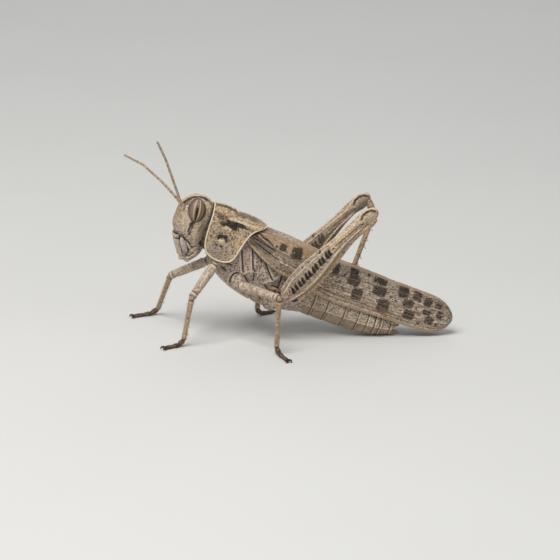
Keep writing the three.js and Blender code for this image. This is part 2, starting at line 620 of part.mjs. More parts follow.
SIDES.forEach(([name, side]) => {
  const thigh = less(hindFemur(side), hindShin(name, GAP), hindHip(side, GAP), grownTrunk);
  const around = [hindShin(name, GAP), hindFemur(side, GAP), hindHip(side, GAP), grownTrunk];
  const foot = name === 'left' ? foldedTarsus() : tarsus(ankles.right, toes.right);
  legGroup.add(mesh(`coxa_hind_${name}`, less(hindHip(side), grownTrunk), SHELL));
  legGroup.add(mesh(`femur_hind_${name}`, thigh, PALE_SHELL));
  legGroup.add(mesh(`tibia_hind_${name}`, hindTibia(name), PALE_SHELL));
  legGroup.add(mesh(`tarsus_hind_${name}`, less(foot, ...around), FOOT));
});

const box = new THREE.Box3().setFromObject(locust);
const middle = box.getCenter(at(0, 0, 0));
locust.position.set(-middle.x, -middle.y, -box.min.z);

export default locust;
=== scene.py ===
# %% [markdown]
# A locust, life size
#
# This lesson dresses a desert locust, as a museum would show it. The packed model gives the true size and
# place of every plate, leg and wing. Here each of them gets its real surface: the crisp rims, seams,
# keels, veins, spines and bristles, and the dry, speckled, dark-marked shell.

# %% Load the frame
import math
import random

import bpy
import numpy as np
from mathutils import Matrix, Vector


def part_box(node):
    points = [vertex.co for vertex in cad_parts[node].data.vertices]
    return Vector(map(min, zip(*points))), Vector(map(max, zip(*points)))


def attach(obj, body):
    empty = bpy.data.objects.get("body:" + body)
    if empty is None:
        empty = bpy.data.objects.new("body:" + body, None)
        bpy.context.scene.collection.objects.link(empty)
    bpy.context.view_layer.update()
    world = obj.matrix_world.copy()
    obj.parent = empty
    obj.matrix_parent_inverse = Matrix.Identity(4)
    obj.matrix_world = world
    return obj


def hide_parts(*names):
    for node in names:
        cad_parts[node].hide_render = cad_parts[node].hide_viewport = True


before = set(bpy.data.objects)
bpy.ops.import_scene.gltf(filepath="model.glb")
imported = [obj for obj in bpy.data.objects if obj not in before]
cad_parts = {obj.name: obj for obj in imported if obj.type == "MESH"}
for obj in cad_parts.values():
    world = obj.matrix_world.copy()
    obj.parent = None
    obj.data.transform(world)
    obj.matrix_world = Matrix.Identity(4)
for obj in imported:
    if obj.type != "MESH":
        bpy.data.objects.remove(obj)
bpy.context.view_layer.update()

print("nodes in the frame:", len(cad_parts))

# %% [markdown]
# Sizes are written in millimetres from the animal's own zero point. That point lies on the floor, in the
# middle plane and a fixed way behind the eyes, so the eyes' boxes in the frame give its place.

# %% Units and the zero point
MM = 0.001
EYE_X = -17.25
near_eye_low, near_eye_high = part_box("eye_left")
far_eye_low, far_eye_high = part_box("eye_right")
HOME = Vector((
    (near_eye_low.x + near_eye_high.x) / 2 - EYE_X * MM, (near_eye_low.y + far_eye_high.y) / 2, 0.0,
))
SIDES = {"left": -1, "right": 1}


def at(x, y, z):
    """A place in the frame from millimetres in the animal's own terms."""
    return HOME + Vector((x, y, z)) * MM


print("zero point in mm:", [round(value / MM, 2) for value in HOME])

# %% [markdown]
# The camera stands low, in front of the animal's left side, with a long lens as for a close portrait. It
# looks a little down and is tipped by two degrees.

# %% Camera
CAMERA_TURN = math.radians(-7.0)
CAMERA_LIFT = math.radians(17.0)
CAMERA_ROLL = math.radians(2.06)
CAMERA_DISTANCE = 600 * MM
VIEW_WIDTH = 112 * MM
SENSOR = 36.0

back = Vector((
    math.sin(CAMERA_TURN) * math.cos(CAMERA_LIFT), -math.cos(CAMERA_TURN) * math.cos(CAMERA_LIFT),
    math.sin(CAMERA_LIFT),
))
level = Vector((math.cos(CAMERA_TURN), math.sin(CAMERA_TURN), 0))
upright = back.cross(level)
right = level * math.cos(CAMERA_ROLL) + upright * math.sin(CAMERA_ROLL)
up = upright * math.cos(CAMERA_ROLL) - level * math.sin(CAMERA_ROLL)

bpy.ops.object.select_all(action="DESELECT")
bpy.ops.object.camera_add(location=at(0, 0, 11.48) + back * CAMERA_DISTANCE)
camera = bpy.context.object
camera.rotation_mode = "QUATERNION"
camera.rotation_quaternion = Matrix((right, up, back)).transposed().to_quaternion()
camera.data.sensor_width = SENSOR
camera.data.lens = SENSOR * CAMERA_DISTANCE / VIEW_WIDTH
bpy.context.scene.camera = camera
bpy.context.scene.view_settings.view_transform = "Standard"
print("camera lens in mm:", round(camera.data.lens, 1))

# %% [markdown]
# Broad soft lamps and a pale sweep of floor stand for a studio with a big window. The window lamp is the
# smallest and strongest, so it shapes the seams. The other two fill the shade in front and behind.

# %% Lamps and floor
for lamp_name, place, size, power in (
    ("window", (-150, -190, 460), 0.3, 2.5),
    ("fill", (330, -320, 160), 0.5, 0.3),
    ("rear_glow", (60, 380, 300), 0.5, 0.45),
):
    bpy.ops.object.light_add(type="AREA", location=at(*place))
    lamp = bpy.context.object
    lamp.name = lamp_name
    lamp.data.size = size
    lamp.data.energy = power
    lamp.rotation_mode = "QUATERNION"
    lamp.rotation_quaternion = (lamp.location - at(0, 0, 15)).to_track_quat("Z", "Y")

world = bpy.data.worlds.new("studio air")
world.use_nodes = True
bpy.context.scene.world = world
world.node_tree.nodes["Background"].inputs["Color"].default_value = (0.80, 0.85, 0.92, 1)
world.node_tree.nodes["Background"].inputs["Strength"].default_value = 0.32

bpy.ops.mesh.primitive_plane_add(size=6, location=(0, 0, 0))
floor = bpy.context.object
floor.name = "floor"

# %% [markdown]
# Three helpers carry all the modelling. One opens an empty mesh ready for primitives, one adds a modifier
# and applies it at once, and one ends a piece: it gives the piece its material, hangs it on the model
# and hides the nodes it replaces.

# %% Modelling helpers
def only(piece):
    """Selects one piece and nothing else."""
    bpy.ops.object.select_all(action="DESELECT")
    piece.select_set(True)
    bpy.context.view_layer.objects.active = piece


def open_mesh(name):
    """An empty mesh object, open in edit mode."""
    bpy.ops.object.select_all(action="DESELECT")
    bpy.ops.mesh.primitive_plane_add(size=MM)
    piece = bpy.context.object
    piece.name = name
    bpy.ops.object.mode_set(mode="EDIT")
    bpy.ops.mesh.delete(type="VERT")
    return piece


def modify(piece, kind, **settings):
    """Adds a modifier with its settings and applies it."""
    only(piece)
    modifier = piece.modifiers.new(kind.lower(), kind)
    for name, value in settings.items():
        setattr(modifier, name, value)
    bpy.ops.object.modifier_apply(modifier=modifier.name)


def finish_piece(piece, material, slot, *nodes):
    """The piece gets its material, rides on the model and replaces its nodes."""
    only(piece)
    bpy.ops.object.shade_smooth()
    if not piece.data.materials:
        piece.data.materials.append(material)
    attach(piece, "root")
    if nodes:
        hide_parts(*nodes)
    print(piece.name, "has", len(piece.data.polygons), "faces")


print("helpers:", [tool.__name__ for tool in (only, open_mesh, modify, finish_piece)])


# %% [markdown]
# Most of the body is a row of hoops, as in a barrel. Each hoop is a circle that spans from a low to a
# high point of the side view. The hoops are bridged, the ends are filled, and subdivision rounds the
# skin. It also draws each hoop in a little, so the hoops start out wider by that amount.

# %% Barrels of hoops
def hoop(low, high, half_width, middle_y, sides):
    """A circle made into an oval, tipped up and moved to its place in the body."""
    swell = 3 / (2 + math.cos(2 * math.pi / sides))
    span = Vector((high[0] - low[0], 0, high[1] - low[1]))
    centre = at((low[0] + high[0]) / 2, middle_y, (low[1] + high[1]) / 2)
    zero = (0, 0, 0)
    bpy.ops.mesh.primitive_circle_add(vertices=sides, radius=MM)
    bpy.ops.transform.resize(value=(span.length / 2 * swell, half_width * swell, 1), center_override=zero)
    bpy.ops.transform.rotate(value=math.atan2(span.z, span.x), orient_axis="Y", center_override=zero)
    bpy.ops.transform.translate(value=centre)


def barrel(name, hoops, middle_y=0.0, sides=16, levels=3):
    """A smooth closed body through a row of (low, high, half width) hoops."""
    piece = open_mesh(name)
    for low, high, half_width in hoops:
        hoop(low, high, half_width, middle_y, sides)
    bpy.ops.mesh.select_all(action="SELECT")
    bpy.ops.mesh.bridge_edge_loops()
    bpy.ops.mesh.select_all(action="DESELECT")
    bpy.ops.mesh.select_non_manifold()
    bpy.ops.mesh.edge_face_add()
    bpy.ops.mesh.select_all(action="SELECT")
    bpy.ops.mesh.normals_make_consistent(inside=False)
    bpy.ops.object.mode_set(mode="OBJECT")
    modify(piece, "SUBSURF", levels=levels, render_levels=levels)
    return piece


print("a hoop of 16 sides starts out wider, times", round(3 / (2 + math.cos(math.pi / 8)), 3))


# %% [markdown]
# Keels, seams and pits are raised from the surface or sunk into it. The vertices near a line of the side
# view get a weight in a vertex group, and a Displace modifier with that group moves them along their
# normals. So every ridge is real geometry.

# %% Raised and sunken lines
def in_mm(piece):
    """All of a piece's vertices in the animal's own millimetres."""
    places = np.empty(len(piece.data.vertices) * 3)
    piece.data.vertices.foreach_get("co", places)
    return (places.reshape(-1, 3) - np.array(HOME)) / MM


def side_view(points, origin=(0, 0), pitch=0.0):
    """Distances along and above a direction that drops by pitch, seen from the side."""
    flat = points[:, [0, 2]] - np.array(origin)
    along = np.array((math.cos(pitch), -math.sin(pitch)))
    above = np.array((math.sin(pitch), math.cos(pitch)))
    return np.stack((flat @ along, flat @ above), axis=1)


def band(values, centre, width):
    """1 where a value is at the centre, falling to 0 over about that width."""
    return np.exp(-(((values - centre) / width) ** 2))


def near(points, path, width):
    """1 on a path, falling to 0 over about width mm."""
    reach = np.full(len(points), 1e9)
    for start, end in zip(np.array(path[:-1]), np.array(path[1:])):
        run = end - start
        share = np.clip((points - start) @ run / (run @ run), 0, 1)
        foot = start + share[:, None] * run
        reach = np.minimum(reach, np.linalg.norm(points - foot, axis=1))
    return band(reach, 0, width)


def brush(piece, name, weights):
    """Keeps the weights as an attribute that the material can read, the highest one where two meet."""
    layer = piece.data.attributes.get(name) or piece.data.attributes.new(name, "FLOAT", "POINT")
    tones = np.empty(len(weights))
    layer.data.foreach_get("value", tones)
    layer.data.foreach_set("value", np.maximum(tones, weights))


def relief(piece, height, weights, tone=1.0):
    """Raises the surface by height mm where the weight is 1, or sinks it if height is negative.

    The weights, times the tone, are also painted as "ridge" or "seam", so that the material can make
    ridges paler and seams darker exactly where they stand. The pale is partly the shell's own colour
    and partly a painted highlight, the dark partly a dark joint and partly painted shade in the groove.
    """
    brush(piece, "ridge" if height > 0 else "seam", weights * tone)
    group = piece.vertex_groups.new(name="relief")
    for index in np.flatnonzero(weights > 0.02):
        group.add([int(index)], float(min(weights[index], 1.0)), "REPLACE")
    modify(piece, "DISPLACE", strength=height * MM, mid_level=0, vertex_group="relief")
    piece.vertex_groups.remove(piece.vertex_groups["relief"])


print("weights at 0, 1 and 2 widths from a line:", band(np.array([0, 1, 2]), 0, 1).round(2))


# %% [markdown]
# Feelers, shins, feet, spines and claws are round and taper along a path. A Bezier curve with a thickness
# at each of its points is the quickest way to such a shape. It is then turned into a mesh.

# %% Limbs along a curve
def unit(run):
    """A direction one long."""
    return run / np.linalg.norm(run)


def taper(levels, count):
    """A size for each of count even steps, from a few (share of the way, size) pairs."""
    return [float(np.interp(i / (count - 1), *np.array(levels).T)) for i in range(count)]


def stations(path, count):
    """Evenly spaced points along a path, with its corners eased."""
    path = np.array(path, float)
    runs = np.concatenate(([0], np.cumsum(np.linalg.norm(np.diff(path, axis=0), axis=1))))
    steps = np.linspace(0, runs[-1], count)
    points = np.stack([np.interp(steps, runs, path[:, axis]) for axis in range(3)], axis=1)
    for _ in range(max(1, count // 12)):
        points[1:-1] = (points[:-2] + 2 * points[1:-1] + points[2:]) / 4
    return points


def limb(name, path, sizes, around=3, smooth=3):
    """A round limb through the points of a path, with a half width in mm at each."""
    bpy.ops.object.select_all(action="DESELECT")
    bpy.ops.curve.primitive_bezier_curve_add()
    piece = bpy.context.object
    piece.name = name
    shape = piece.data
    spline = shape.splines[0]
    spline.bezier_points.add(len(path) - len(spline.bezier_points))
    for knot, place, size in zip(spline.bezier_points, path, sizes):
        knot.handle_left_type = knot.handle_right_type = "AUTO"
        knot.co = at(*place)
        knot.radius = size
    shape.dimensions = "3D"
    shape.resolution_u = smooth
    shape.bevel_depth = MM
    shape.bevel_resolution = around
    shape.use_fill_caps = True
    bpy.ops.object.convert(target="MESH")
    piece = bpy.context.object
    bpy.ops.object.mode_set(mode="EDIT")
    bpy.ops.mesh.select_all(action="SELECT")
    bpy.ops.mesh.remove_doubles(threshold=MM / 500)
    bpy.ops.mesh.normals_make_consistent(inside=False)
    bpy.ops.object.mode_set(mode="OBJECT")
    return piece


def join(name, pieces):
    """Several pieces made one."""
    bpy.ops.object.select_all(action="DESELECT")
    for piece in pieces:
        piece.select_set(True)
    bpy.context.view_layer.objects.active = pieces[0]
    if len(pieces) > 1:
        bpy.ops.object.join()
    whole = bpy.context.view_layer.objects.active
    whole.name = name
    return whole


def ball(name, centre, size, lean=0.0, roll=0.0, rings=16):
    """A ball pulled to three half sizes, its top leant towards the tail, then rolled to one side."""
    zero = (0, 0, 0)
    piece = open_mesh(name)
    bpy.ops.mesh.primitive_uv_sphere_add(segments=rings * 3 // 2, ring_count=rings, radius=MM)
    bpy.ops.transform.resize(value=size, center_override=zero)
    bpy.ops.transform.rotate(value=-lean, orient_axis="Y", center_override=zero)
    bpy.ops.transform.rotate(value=-roll, orient_axis="X", center_override=zero)
    bpy.ops.transform.translate(value=at(*centre))
    bpy.ops.object.mode_set(mode="OBJECT")
    return piece


print("a taper from 1 to 0.2 in five steps:", taper([(0, 1.0), (1, 0.2)], 5))


# %% [markdown]
# Colours are written as hex values and turned into linear light. A mark in the shape of a line is a chain
# of ovals laid end to end.

# %% Colours and streaks
def linear(hex_colour):
    """An sRGB hex colour as a linear RGBA."""
    parts = [int(hex_colour[i:i + 2], 16) / 255 for i in (1, 3, 5)]
    return tuple(c / 12.92 if c <= 0.04045 else ((c + 0.055) / 1.055) ** 2.4 for c in parts) + (1.0,)


OVAL_OVERLAP = 1.15


def streaks(path, half_width):
    """Ovals end to end along a path of the side view, for a mark in the shape of a line."""
    ovals = []
    for (x0, z0), (x1, z1) in zip(path[:-1], path[1:]):
        half_length = math.hypot(x1 - x0, z1 - z0) / 2
        turn = math.degrees(math.atan2(z1 - z0, x1 - x0))
        ovals.append((
            (x0 + x1) / 2, (z0 + z1) / 2, half_length * OVAL_OVERLAP + half_width / 3, half_width, turn,
        ))
    return ovals


print("mid grey in linear light:", round(linear("#808080")[0], 3))

# %% [markdown]
# Insect shell is chitin: dull and dry, paler where it is thick, with fine pits and freckles. A class
# keeps each material's nodes together while it is mixed: its place in millimetres, the colour so far and
# the height so far. Marks are soft ovals in the side view, roughened by noise, so both sides carry them.

# %% Mixing a shell finish
class Finish:
    """A material while it is being mixed."""

    def __init__(self, name, ground, roughness, origin=(0, 0, 0), pitch=0.0, wobble=0.3):
        self.material = bpy.data.materials.new(name)
        self.material.use_nodes = True
        self.tree = self.material.node_tree
        self.shader = self.tree.nodes["Principled BSDF"]
        self.shader.inputs["Roughness"].default_value = roughness
        self.shader.inputs["IOR"].default_value = 1.5
        self.shader.inputs["Specular IOR Level"].default_value = 0.33
        coordinates = self.add("TexCoord").outputs["Object"]
        self.place = self.add(
            "Mapping", {0: coordinates, 1: at(*origin), 2: (0, pitch, 0), 3: (MM, MM, MM)},
            vector_type="TEXTURE"
        )
        noise = self.add("TexNoise", {"Vector": self.place, "Scale": 1.6, "Detail": 4})
        self.shaken = self.add(
            "VectorMath", {0: noise.outputs["Color"], 1: (2 * wobble,) * 3, 2: self.place},
            operation="MULTIPLY_ADD"
        )
        self.shaken = self.add("VectorMath", {0: self.shaken, 1: (wobble,) * 3}, operation="SUBTRACT")
        self.colour = linear(ground)
        self.height = None

    def add(self, kind, inputs=(), **settings):
        """Adds a node with its settings. An input is a value, a socket or a node."""
        node = self.tree.nodes.new("ShaderNode" + kind)
        for name, value in settings.items():
            setattr(node, name, value)
        for key, value in dict(inputs).items():
            if isinstance(value, bpy.types.Node):
                value = next(socket for socket in value.outputs if socket.enabled)
            if isinstance(value, bpy.types.NodeSocket):
                self.tree.links.new(value, node.inputs[key])
            else:
                node.inputs[key].default_value = value
        return node

    def stain(self, mask, hex_colour, strength=1.0, within=None):
        """Lays a colour where the mask is 1, and only within a second mask if there is one."""
        if within is not None:
            mask = self.add("Math", {0: mask, 1: within}, operation="MULTIPLY")
        amount = self.add("Math", {0: mask, 1: strength}, operation="MULTIPLY")
        self.colour = self.add("Mix", {0: amount, 6: self.colour, 7: linear(hex_colour)}, data_type="RGBA")

    def raise_by(self, mask, height):
        """Adds a bump of that many mm where the mask is 1."""
        amount = self.add("Math", {0: mask, 1: height}, operation="MULTIPLY")
        if self.height is not None:
            amount = self.add("Math", {0: self.height, 1: amount}, operation="ADD")
        self.height = amount

    def patches(self, size, low, high, detail=3.0, stretch=(1, 1, 1)):
        """A noise mask with patches of that many mm, from 0 at the low level to 1 at the high one."""
        spread = self.add("VectorMath", {0: self.place, 1: stretch}, operation="DIVIDE")
        noise = self.add("TexNoise", {"Vector": spread, "Scale": 1 / size, "Detail": detail})
        return self.add("MapRange", {0: noise.outputs[0], 1: low, 2: high})

    def pits(self, spacing, radius, chance=1.0):
        """A mask of round dots, one to a cell of that spacing, with some of them left out."""
        cells = self.add("TexVoronoi", {"Vector": self.place, "Scale": 1 / spacing})
        dots = self.add("MapRange", {0: cells.outputs["Distance"], 1: radius * 1.35, 2: radius * 0.65})
        pick = self.add("SeparateColor", {0: cells.outputs["Color"]})
        kept = self.add("Math", {0: pick.outputs[0], 1: chance}, operation="LESS_THAN")
        return self.add("Math", {0: dots, 1: kept}, operation="MULTIPLY")

    def spots(self, marks, soft=0.3, square=False):
        """A mask of ovals, each with its place, half length, half height in mm and turn in degrees."""
        total = 0.0
        for across, above, half_length, half_height, turn in marks:
            oval = self.add("Mapping", {
                0: self.shaken, 1: (across, 0, above), 2: (0, math.radians(-turn), 0),
                3: (half_length, 1000, half_height),
            }, vector_type="TEXTURE")
            if square:
                oval = self.add("VectorMath", {0: oval, 1: oval}, operation="MULTIPLY")
            reach = self.add("VectorMath", {0: oval}, operation="LENGTH")
            inside = self.add("MapRange", {0: reach, 1: 1 + soft, 2: 1 - soft})
            total = self.add("Math", {0: total, 1: inside}, operation="MAXIMUM")
        return total

    def mark(self, hex_colour, strength, ovals, soft=0.3):
        """Stains the ovals with a colour."""
        self.stain(self.spots(ovals, soft), hex_colour, strength)

    def dry_shell(self, dark, pale, freckles=0.5, pits=0.6, grain=0.42):
        """The look that all the shell shares: mottled, freckled and finely pitted."""
        self.stain(self.patches(1.8, 0.42, 0.64), pale, 0.55)
        self.stain(self.patches(0.5, 0.46, 0.6, 5), dark, min(freckles * 1.5, 0.9))
        self.stain(self.patches(0.42, 0.47, 0.6, 4), pale, 0.75)
        dots = self.pits(grain, 0.34, 0.65)
        self.stain(dots, dark, min(pits * 1.4, 0.95))
        self.raise_by(self.patches(0.3, 0.3, 0.7, 5), 0.13)
        self.raise_by(dots, -0.16)

    def coat(self, name, hex_colour, strength=0.9, rough=0.4):
        """Lays a colour where the piece is painted, with an edge roughened by noise."""
        level = self.add("Attribute", attribute_name=name).outputs["Fac"]
        noise = self.add("TexNoise", {"Vector": self.place, "Scale": 2.5, "Detail": 4})
        shaken = self.add("Math", {0: noise.outputs[0], 1: rough, 2: level}, operation="MULTIPLY_ADD")
        self.stain(self.add(
            "MapRange", {0: shaken, 1: 0.22 + rough / 2, 2: 0.7 + rough / 2}
        ), hex_colour, strength)

    def lines(self, dark, pale, strength=0.85):
        """Makes the piece's raised lines pale and its sunken ones dark: partly their own colour, partly a
        painted highlight on the ridges and painted shade in the seams.
        """
        self.coat("ridge", pale, strength, 0.3)
        self.coat("seam", dark, strength, 0.3)

    def done(self):
        """Joins the colour and the height to the shader."""
        if isinstance(self.colour, tuple):
            self.shader.inputs["Base Color"].default_value = self.colour
        else:
            socket = next(s for s in self.colour.outputs if s.enabled)
            self.tree.links.new(socket, self.shader.inputs["Base Color"])
        if self.height is not None:
            bump = self.add("Bump", {"Height": self.height, "Distance": MM})
            self.tree.links.new(bump.outputs[0], self.shader.inputs["Normal"])
        print("mixed", self.material.name, "with", len(self.tree.nodes), "nodes")
        return self.material


def plain_skin(name, ground, roughness, dry=(), lines=()):
    """A finish without marks of its own, with the dry look and the lines where they are given."""
    finish = Finish(name, ground, roughness)
    if dry:
        finish.dry_shell(*dry)
    if lines:
        finish.lines(*lines)
    return finish.done()


print("steps of a finish:", [name for name in vars(Finish) if not name.startswith("_")])


# %% [markdown]
# The floor is a plain matt sweep of pale paint.

# %% Floor paint
paint = Finish("matt studio paint", "#d3d1cc", 0.9)
paint.stain(paint.patches(60, 0.4, 0.7), "#cdcbc6", 0.3)
floor.data.materials.append(paint.done())

# %% [markdown]
# The head needs the most care. Its skin is a row of level hoops from the cheeks up to the crown. Ridges
# run down the face on each side of the middle and from the feelers to the jaws, a groove drops from each
# eye, and the eye and the feeler each sit in a raised ring.

# %% Head capsule
# height, face, nape, half width
HEAD_HOOPS = [
    (19.0, -18.7, -17.3, 1.9), (19.4, -19.1, -16.6, 2.7), (20.2, -19.7, -16.1, 3.05),
    (21.1, -20.7, -15.6, 3.22), (21.9, -21.6, -15.3, 3.28), (23.2, -21.85, -14.4, 3.28),
    (24.6, -21.55, -13.85, 3.15), (26.0, -21.02, -13.6, 2.9), (27.1, -20.62, -13.7, 2.5),
    (27.9, -20.15, -14.1, 2.1), (28.4, -19.5, -14.7, 1.65), (28.92, -18.75, -15.3, 1.25),
    (29.12, -18.0, -16.2, 0.7),
]
EYE_CENTRE = (EYE_X, 2.55, 26.6)
EYE_SIZE = (1.72, 1.3, 2.23)
EYE_LEAN = 0.2
EYE_ROLL = 0.32
FEELER_SOCKET = np.array((-20.35, 1.45, 27.3))
# name: (path in the side view, height, width, how strongly it is coloured)
HEAD_LINES = {
    "face ridge": ([(-19.2, 27.2), (-19.72, 25.8), (-19.97, 24.2), (-19.85, 22.4)], 0.16, 0.24, 0.8),
    "groove below the eye": ([
        (-17.8, 24.45), (-18.35, 24.0), (-18.74, 23.0), (-18.92, 22.4),
    ], -0.24, 0.25, 1.0),
    "second groove": ([(-18.0, 24.1), (-18.16, 23.3), (-18.7, 22.0)], -0.1, 0.18, 0.75),
    "cheek seam": ([(-20.2, 21.7), (-19.5, 20.7), (-18.6, 19.8), (-18.35, 19.2)], -0.16, 0.15, 1.0),
    "cheek rim": ([
        (-18.5, 19.35), (-17.4, 19.65), (-16.7, 20.1), (-16.0, 21.1), (-15.5, 22.3),
    ], 0.14, 0.2, 0.7),
}


def from_middle(points):
    """The same places with both sides folded onto the right one."""
    return points * (1, 0, 1) + np.abs(points) * (0, 1, 0)


head = barrel(
    "head_capsule", [((face, z), (nape, z), width) for z, face, nape, width in HEAD_HOOPS], sides=20
)
points = from_middle(in_mm(head))
flank = side_view(points)
front = np.clip((-17.5 - points[:, 0]) / 1.5, 0, 1)
relief(head, 0.16, near(
    points[:, 1:], [(0.75, 27.6), (0.8, 25.5), (0.72, 24.6), (0.95, 21.9)], 0.2
) * front, 0.5)
relief(head, -0.1, near(points[:, 1:], [(0.0, 26.8), (0.0, 22.2)], 0.35) * front, 0.1)
for path, depth, width, tone in HEAD_LINES.values():
    relief(head, depth, near(flank, path, width), tone)
about_eye = side_view(points, (EYE_X, EYE_CENTRE[2]), EYE_LEAN - math.pi / 2)[:, ::-1]
ring = np.hypot(about_eye[:, 0] / EYE_SIZE[0], about_eye[:, 1] / EYE_SIZE[2])
beside = points[:, 1] > 1.0
relief(head, 0.12, band(ring, 1.05, 0.08) * beside * (points[:, 2] < 27.9), 0.3)
relief(head, -0.2, band(ring, 0.93, 0.05) * beside)
socket = np.linalg.norm(points - FEELER_SOCKET, axis=1)
relief(head, 0.15, band(socket, 0.62, 0.14), 0.6)
relief(head, -0.15, band(socket, 0, 0.4), 0.8)
print("head lines raised or sunk:", list(HEAD_LINES))

# %% [markdown]
# The head's shell is a warm dry brown. A pale band runs over the crown between two dark seams, which
# stand at a fixed distance from the middle plane. The other marks are soft ovals: a tan socket at the
# feeler, a grey patch before the eye, pale cheeks and a dark tear below the eye. The pale oval at the
# rear of the cheek is painted light, where the head curves away from the lamps.

# %% Head finish
skin = Finish("head chitin", "#b29c87", 0.5)
skin.dry_shell("#705a4a", "#cdb8a2", 0.32, 0.32)
height = skin.add("SeparateXYZ", {0: skin.shaken})
aside = skin.add("Math", {0: height.outputs["Y"]}, operation="ABSOLUTE")
top = skin.add("MapRange", {0: height.outputs["Z"], 1: 26.9, 2: 27.5})
skin.mark("#a98a66", 0.6, [
    (-20.4, 27.3, 0.75, 0.7, 40), (-20.8, 25.9, 0.3, 0.8, 12), (-20.4, 26.4, 0.25, 0.5, 0),
])
skin.mark("#75635a", 0.85, [(-19.3, 27.95, 0.6, 0.42, 10)], 0.5)
skin.mark("#d8c39a", 0.8, [(-18.35, 28.5, 0.3, 0.25, 0)], 0.5)
nearer = skin.add("MapRange", {0: aside, 1: 0.85, 2: 0.65})
skin.stain(nearer, "#d3b692", 0.9, within=top)
seam = skin.add("Math", {0: aside, 1: 1.02}, operation="SUBTRACT")
seam = skin.add("MapRange", {0: skin.add("Math", {0: seam}, operation="ABSOLUTE"), 1: 0.36, 2: 0.18})
skin.stain(seam, "#3c2d25", 0.95, within=top)
# Pale face and cheeks; the widest oval, at the rear of the cheek, is painted light where the head curves
# away from the lamps.
skin.mark("#d0ba9f", 0.65, [
    (-19.1, 24.6, 0.4, 2.2, 4), (-17.3, 22.8, 0.7, 1.3, -20), (-15.0, 24.6, 0.8, 3.0, -8),
], 0.6)
skin.mark("#46352b", 0.8, [
    (-18.3, 23.9, 0.4, 0.55, -30), (-18.75, 21.9, 0.3, 0.3, 0), (-19.7, 26.75, 0.22, 0.5, -15),
    (-19.55, 27.5, 0.16, 0.5, 25),
], 0.5)
skin.mark("#6b5240", 0.7, [
    (-21.4, 24.6, 0.18, 0.14, 0), (-20.5, 26.2, 0.12, 0.3, 20), (-16.4, 23.2, 0.2, 1.2, -30),
], 0.5)
skin.lines("#33261e", "#d2bb9f")
head_skin = skin.done()
finish_piece(head, head_skin, "shell", "head")

# %% [markdown]
# Each compound eye is a tall oval ball of thousands of facets. In this species it is striped: thin cream
# lines run from top to bottom between brown bands, and a dark spindle stands in the middle. The stripes
# meet at the poles, so they are drawn on the sphere's own longitude.

# %% Compound eyes
EYE_STRIPES = [
    (0.0, "#4a3a2c"), (0.08, "#7d6753"), (0.24, "#86715f"), (0.30, "#c2ab90"), (0.345, "#8e7761"),
    (0.40, "#5e4738"), (0.435, "#1a0a07"), (0.54, "#1a0a07"), (0.575, "#9a8470"), (0.63, "#c9b294"),
    (0.675, "#77623f"), (0.74, "#5f4a2c"), (0.80, "#8a7149"), (0.88, "#5e4829"), (1.0, "#33261a"),
]
eye = Finish("faceted eye lens", "#6a4f38", 0.36)
split = eye.add("SeparateXYZ", {0: eye.place})
folded = eye.add("CombineXYZ", {
    0: split.outputs["X"], 1: eye.add("Math", {0: split.outputs["Y"]}, operation="ABSOLUTE"),
    2: split.outputs["Z"],
})
tilt = (Matrix.Rotation(EYE_ROLL, 3, "X") @ Matrix.Rotation(EYE_LEAN, 3, "Y")).to_euler("XYZ")
inside_eye = eye.add("Mapping", {0: folded, 1: EYE_CENTRE, 2: tilt, 3: EYE_SIZE}, vector_type="TEXTURE")
axes = eye.add("SeparateXYZ", {0: inside_eye})
squared = eye.add("Math", {0: axes.outputs["Z"], 1: axes.outputs["Z"]}, operation="MULTIPLY")
left_over = eye.add("Math", {0: 1.02, 1: squared}, operation="SUBTRACT")
circle = eye.add("Math", {0: left_over, 1: 0.5}, operation="POWER")
longitude = eye.add("Math", {0: axes.outputs["X"], 1: circle}, operation="DIVIDE")
longitude = eye.add("MapRange", {0: longitude, 1: -1.0, 2: 1.0})
ramp = eye.add("ValToRGB", {0: longitude})
stops = ramp.color_ramp.elements
while len(stops) < len(EYE_STRIPES):
    stops.new(0.5)
for stop, (place, hex_colour) in zip(stops, EYE_STRIPES):
    stop.position = place
    stop.color = linear(hex_colour)
eye.colour = ramp
upper = eye.add("MapRange", {0: axes.outputs["Z"], 1: 0.1, 2: 0.5})
middle = eye.add("MapRange", {0: eye.add(
    "Math", {0: eye.add("Math", {0: longitude, 1: 0.49}, operation="SUBTRACT")}, operation="ABSOLUTE"
), 1: 0.085, 2: 0.05})
eye.stain(upper, "#8f7a6b", 0.8, within=middle)
eye.stain(eye.patches(0.3, 0.45, 0.7), "#5a4330", 0.25)
eye.raise_by(eye.pits(0.16, 0.4), 0.02)
eye_lens = eye.done()
for side_name, side in SIDES.items():
    centre = (EYE_CENTRE[0], side * EYE_CENTRE[1], EYE_CENTRE[2])
    eyeball = ball(f"eye_{side_name}_ball", centre, EYE_SIZE, EYE_LEAN, side * EYE_ROLL, rings=28)
    finish_piece(eyeball, eye_lens, "eye", "eye_" + side_name)

# %% [markdown]
# The mouth hangs below the face. Clypeus and labrum form one flap with a seam across, the mandibles are
# pale polished spindles at its sides, and behind them lie the maxillae with their jointed feelers.

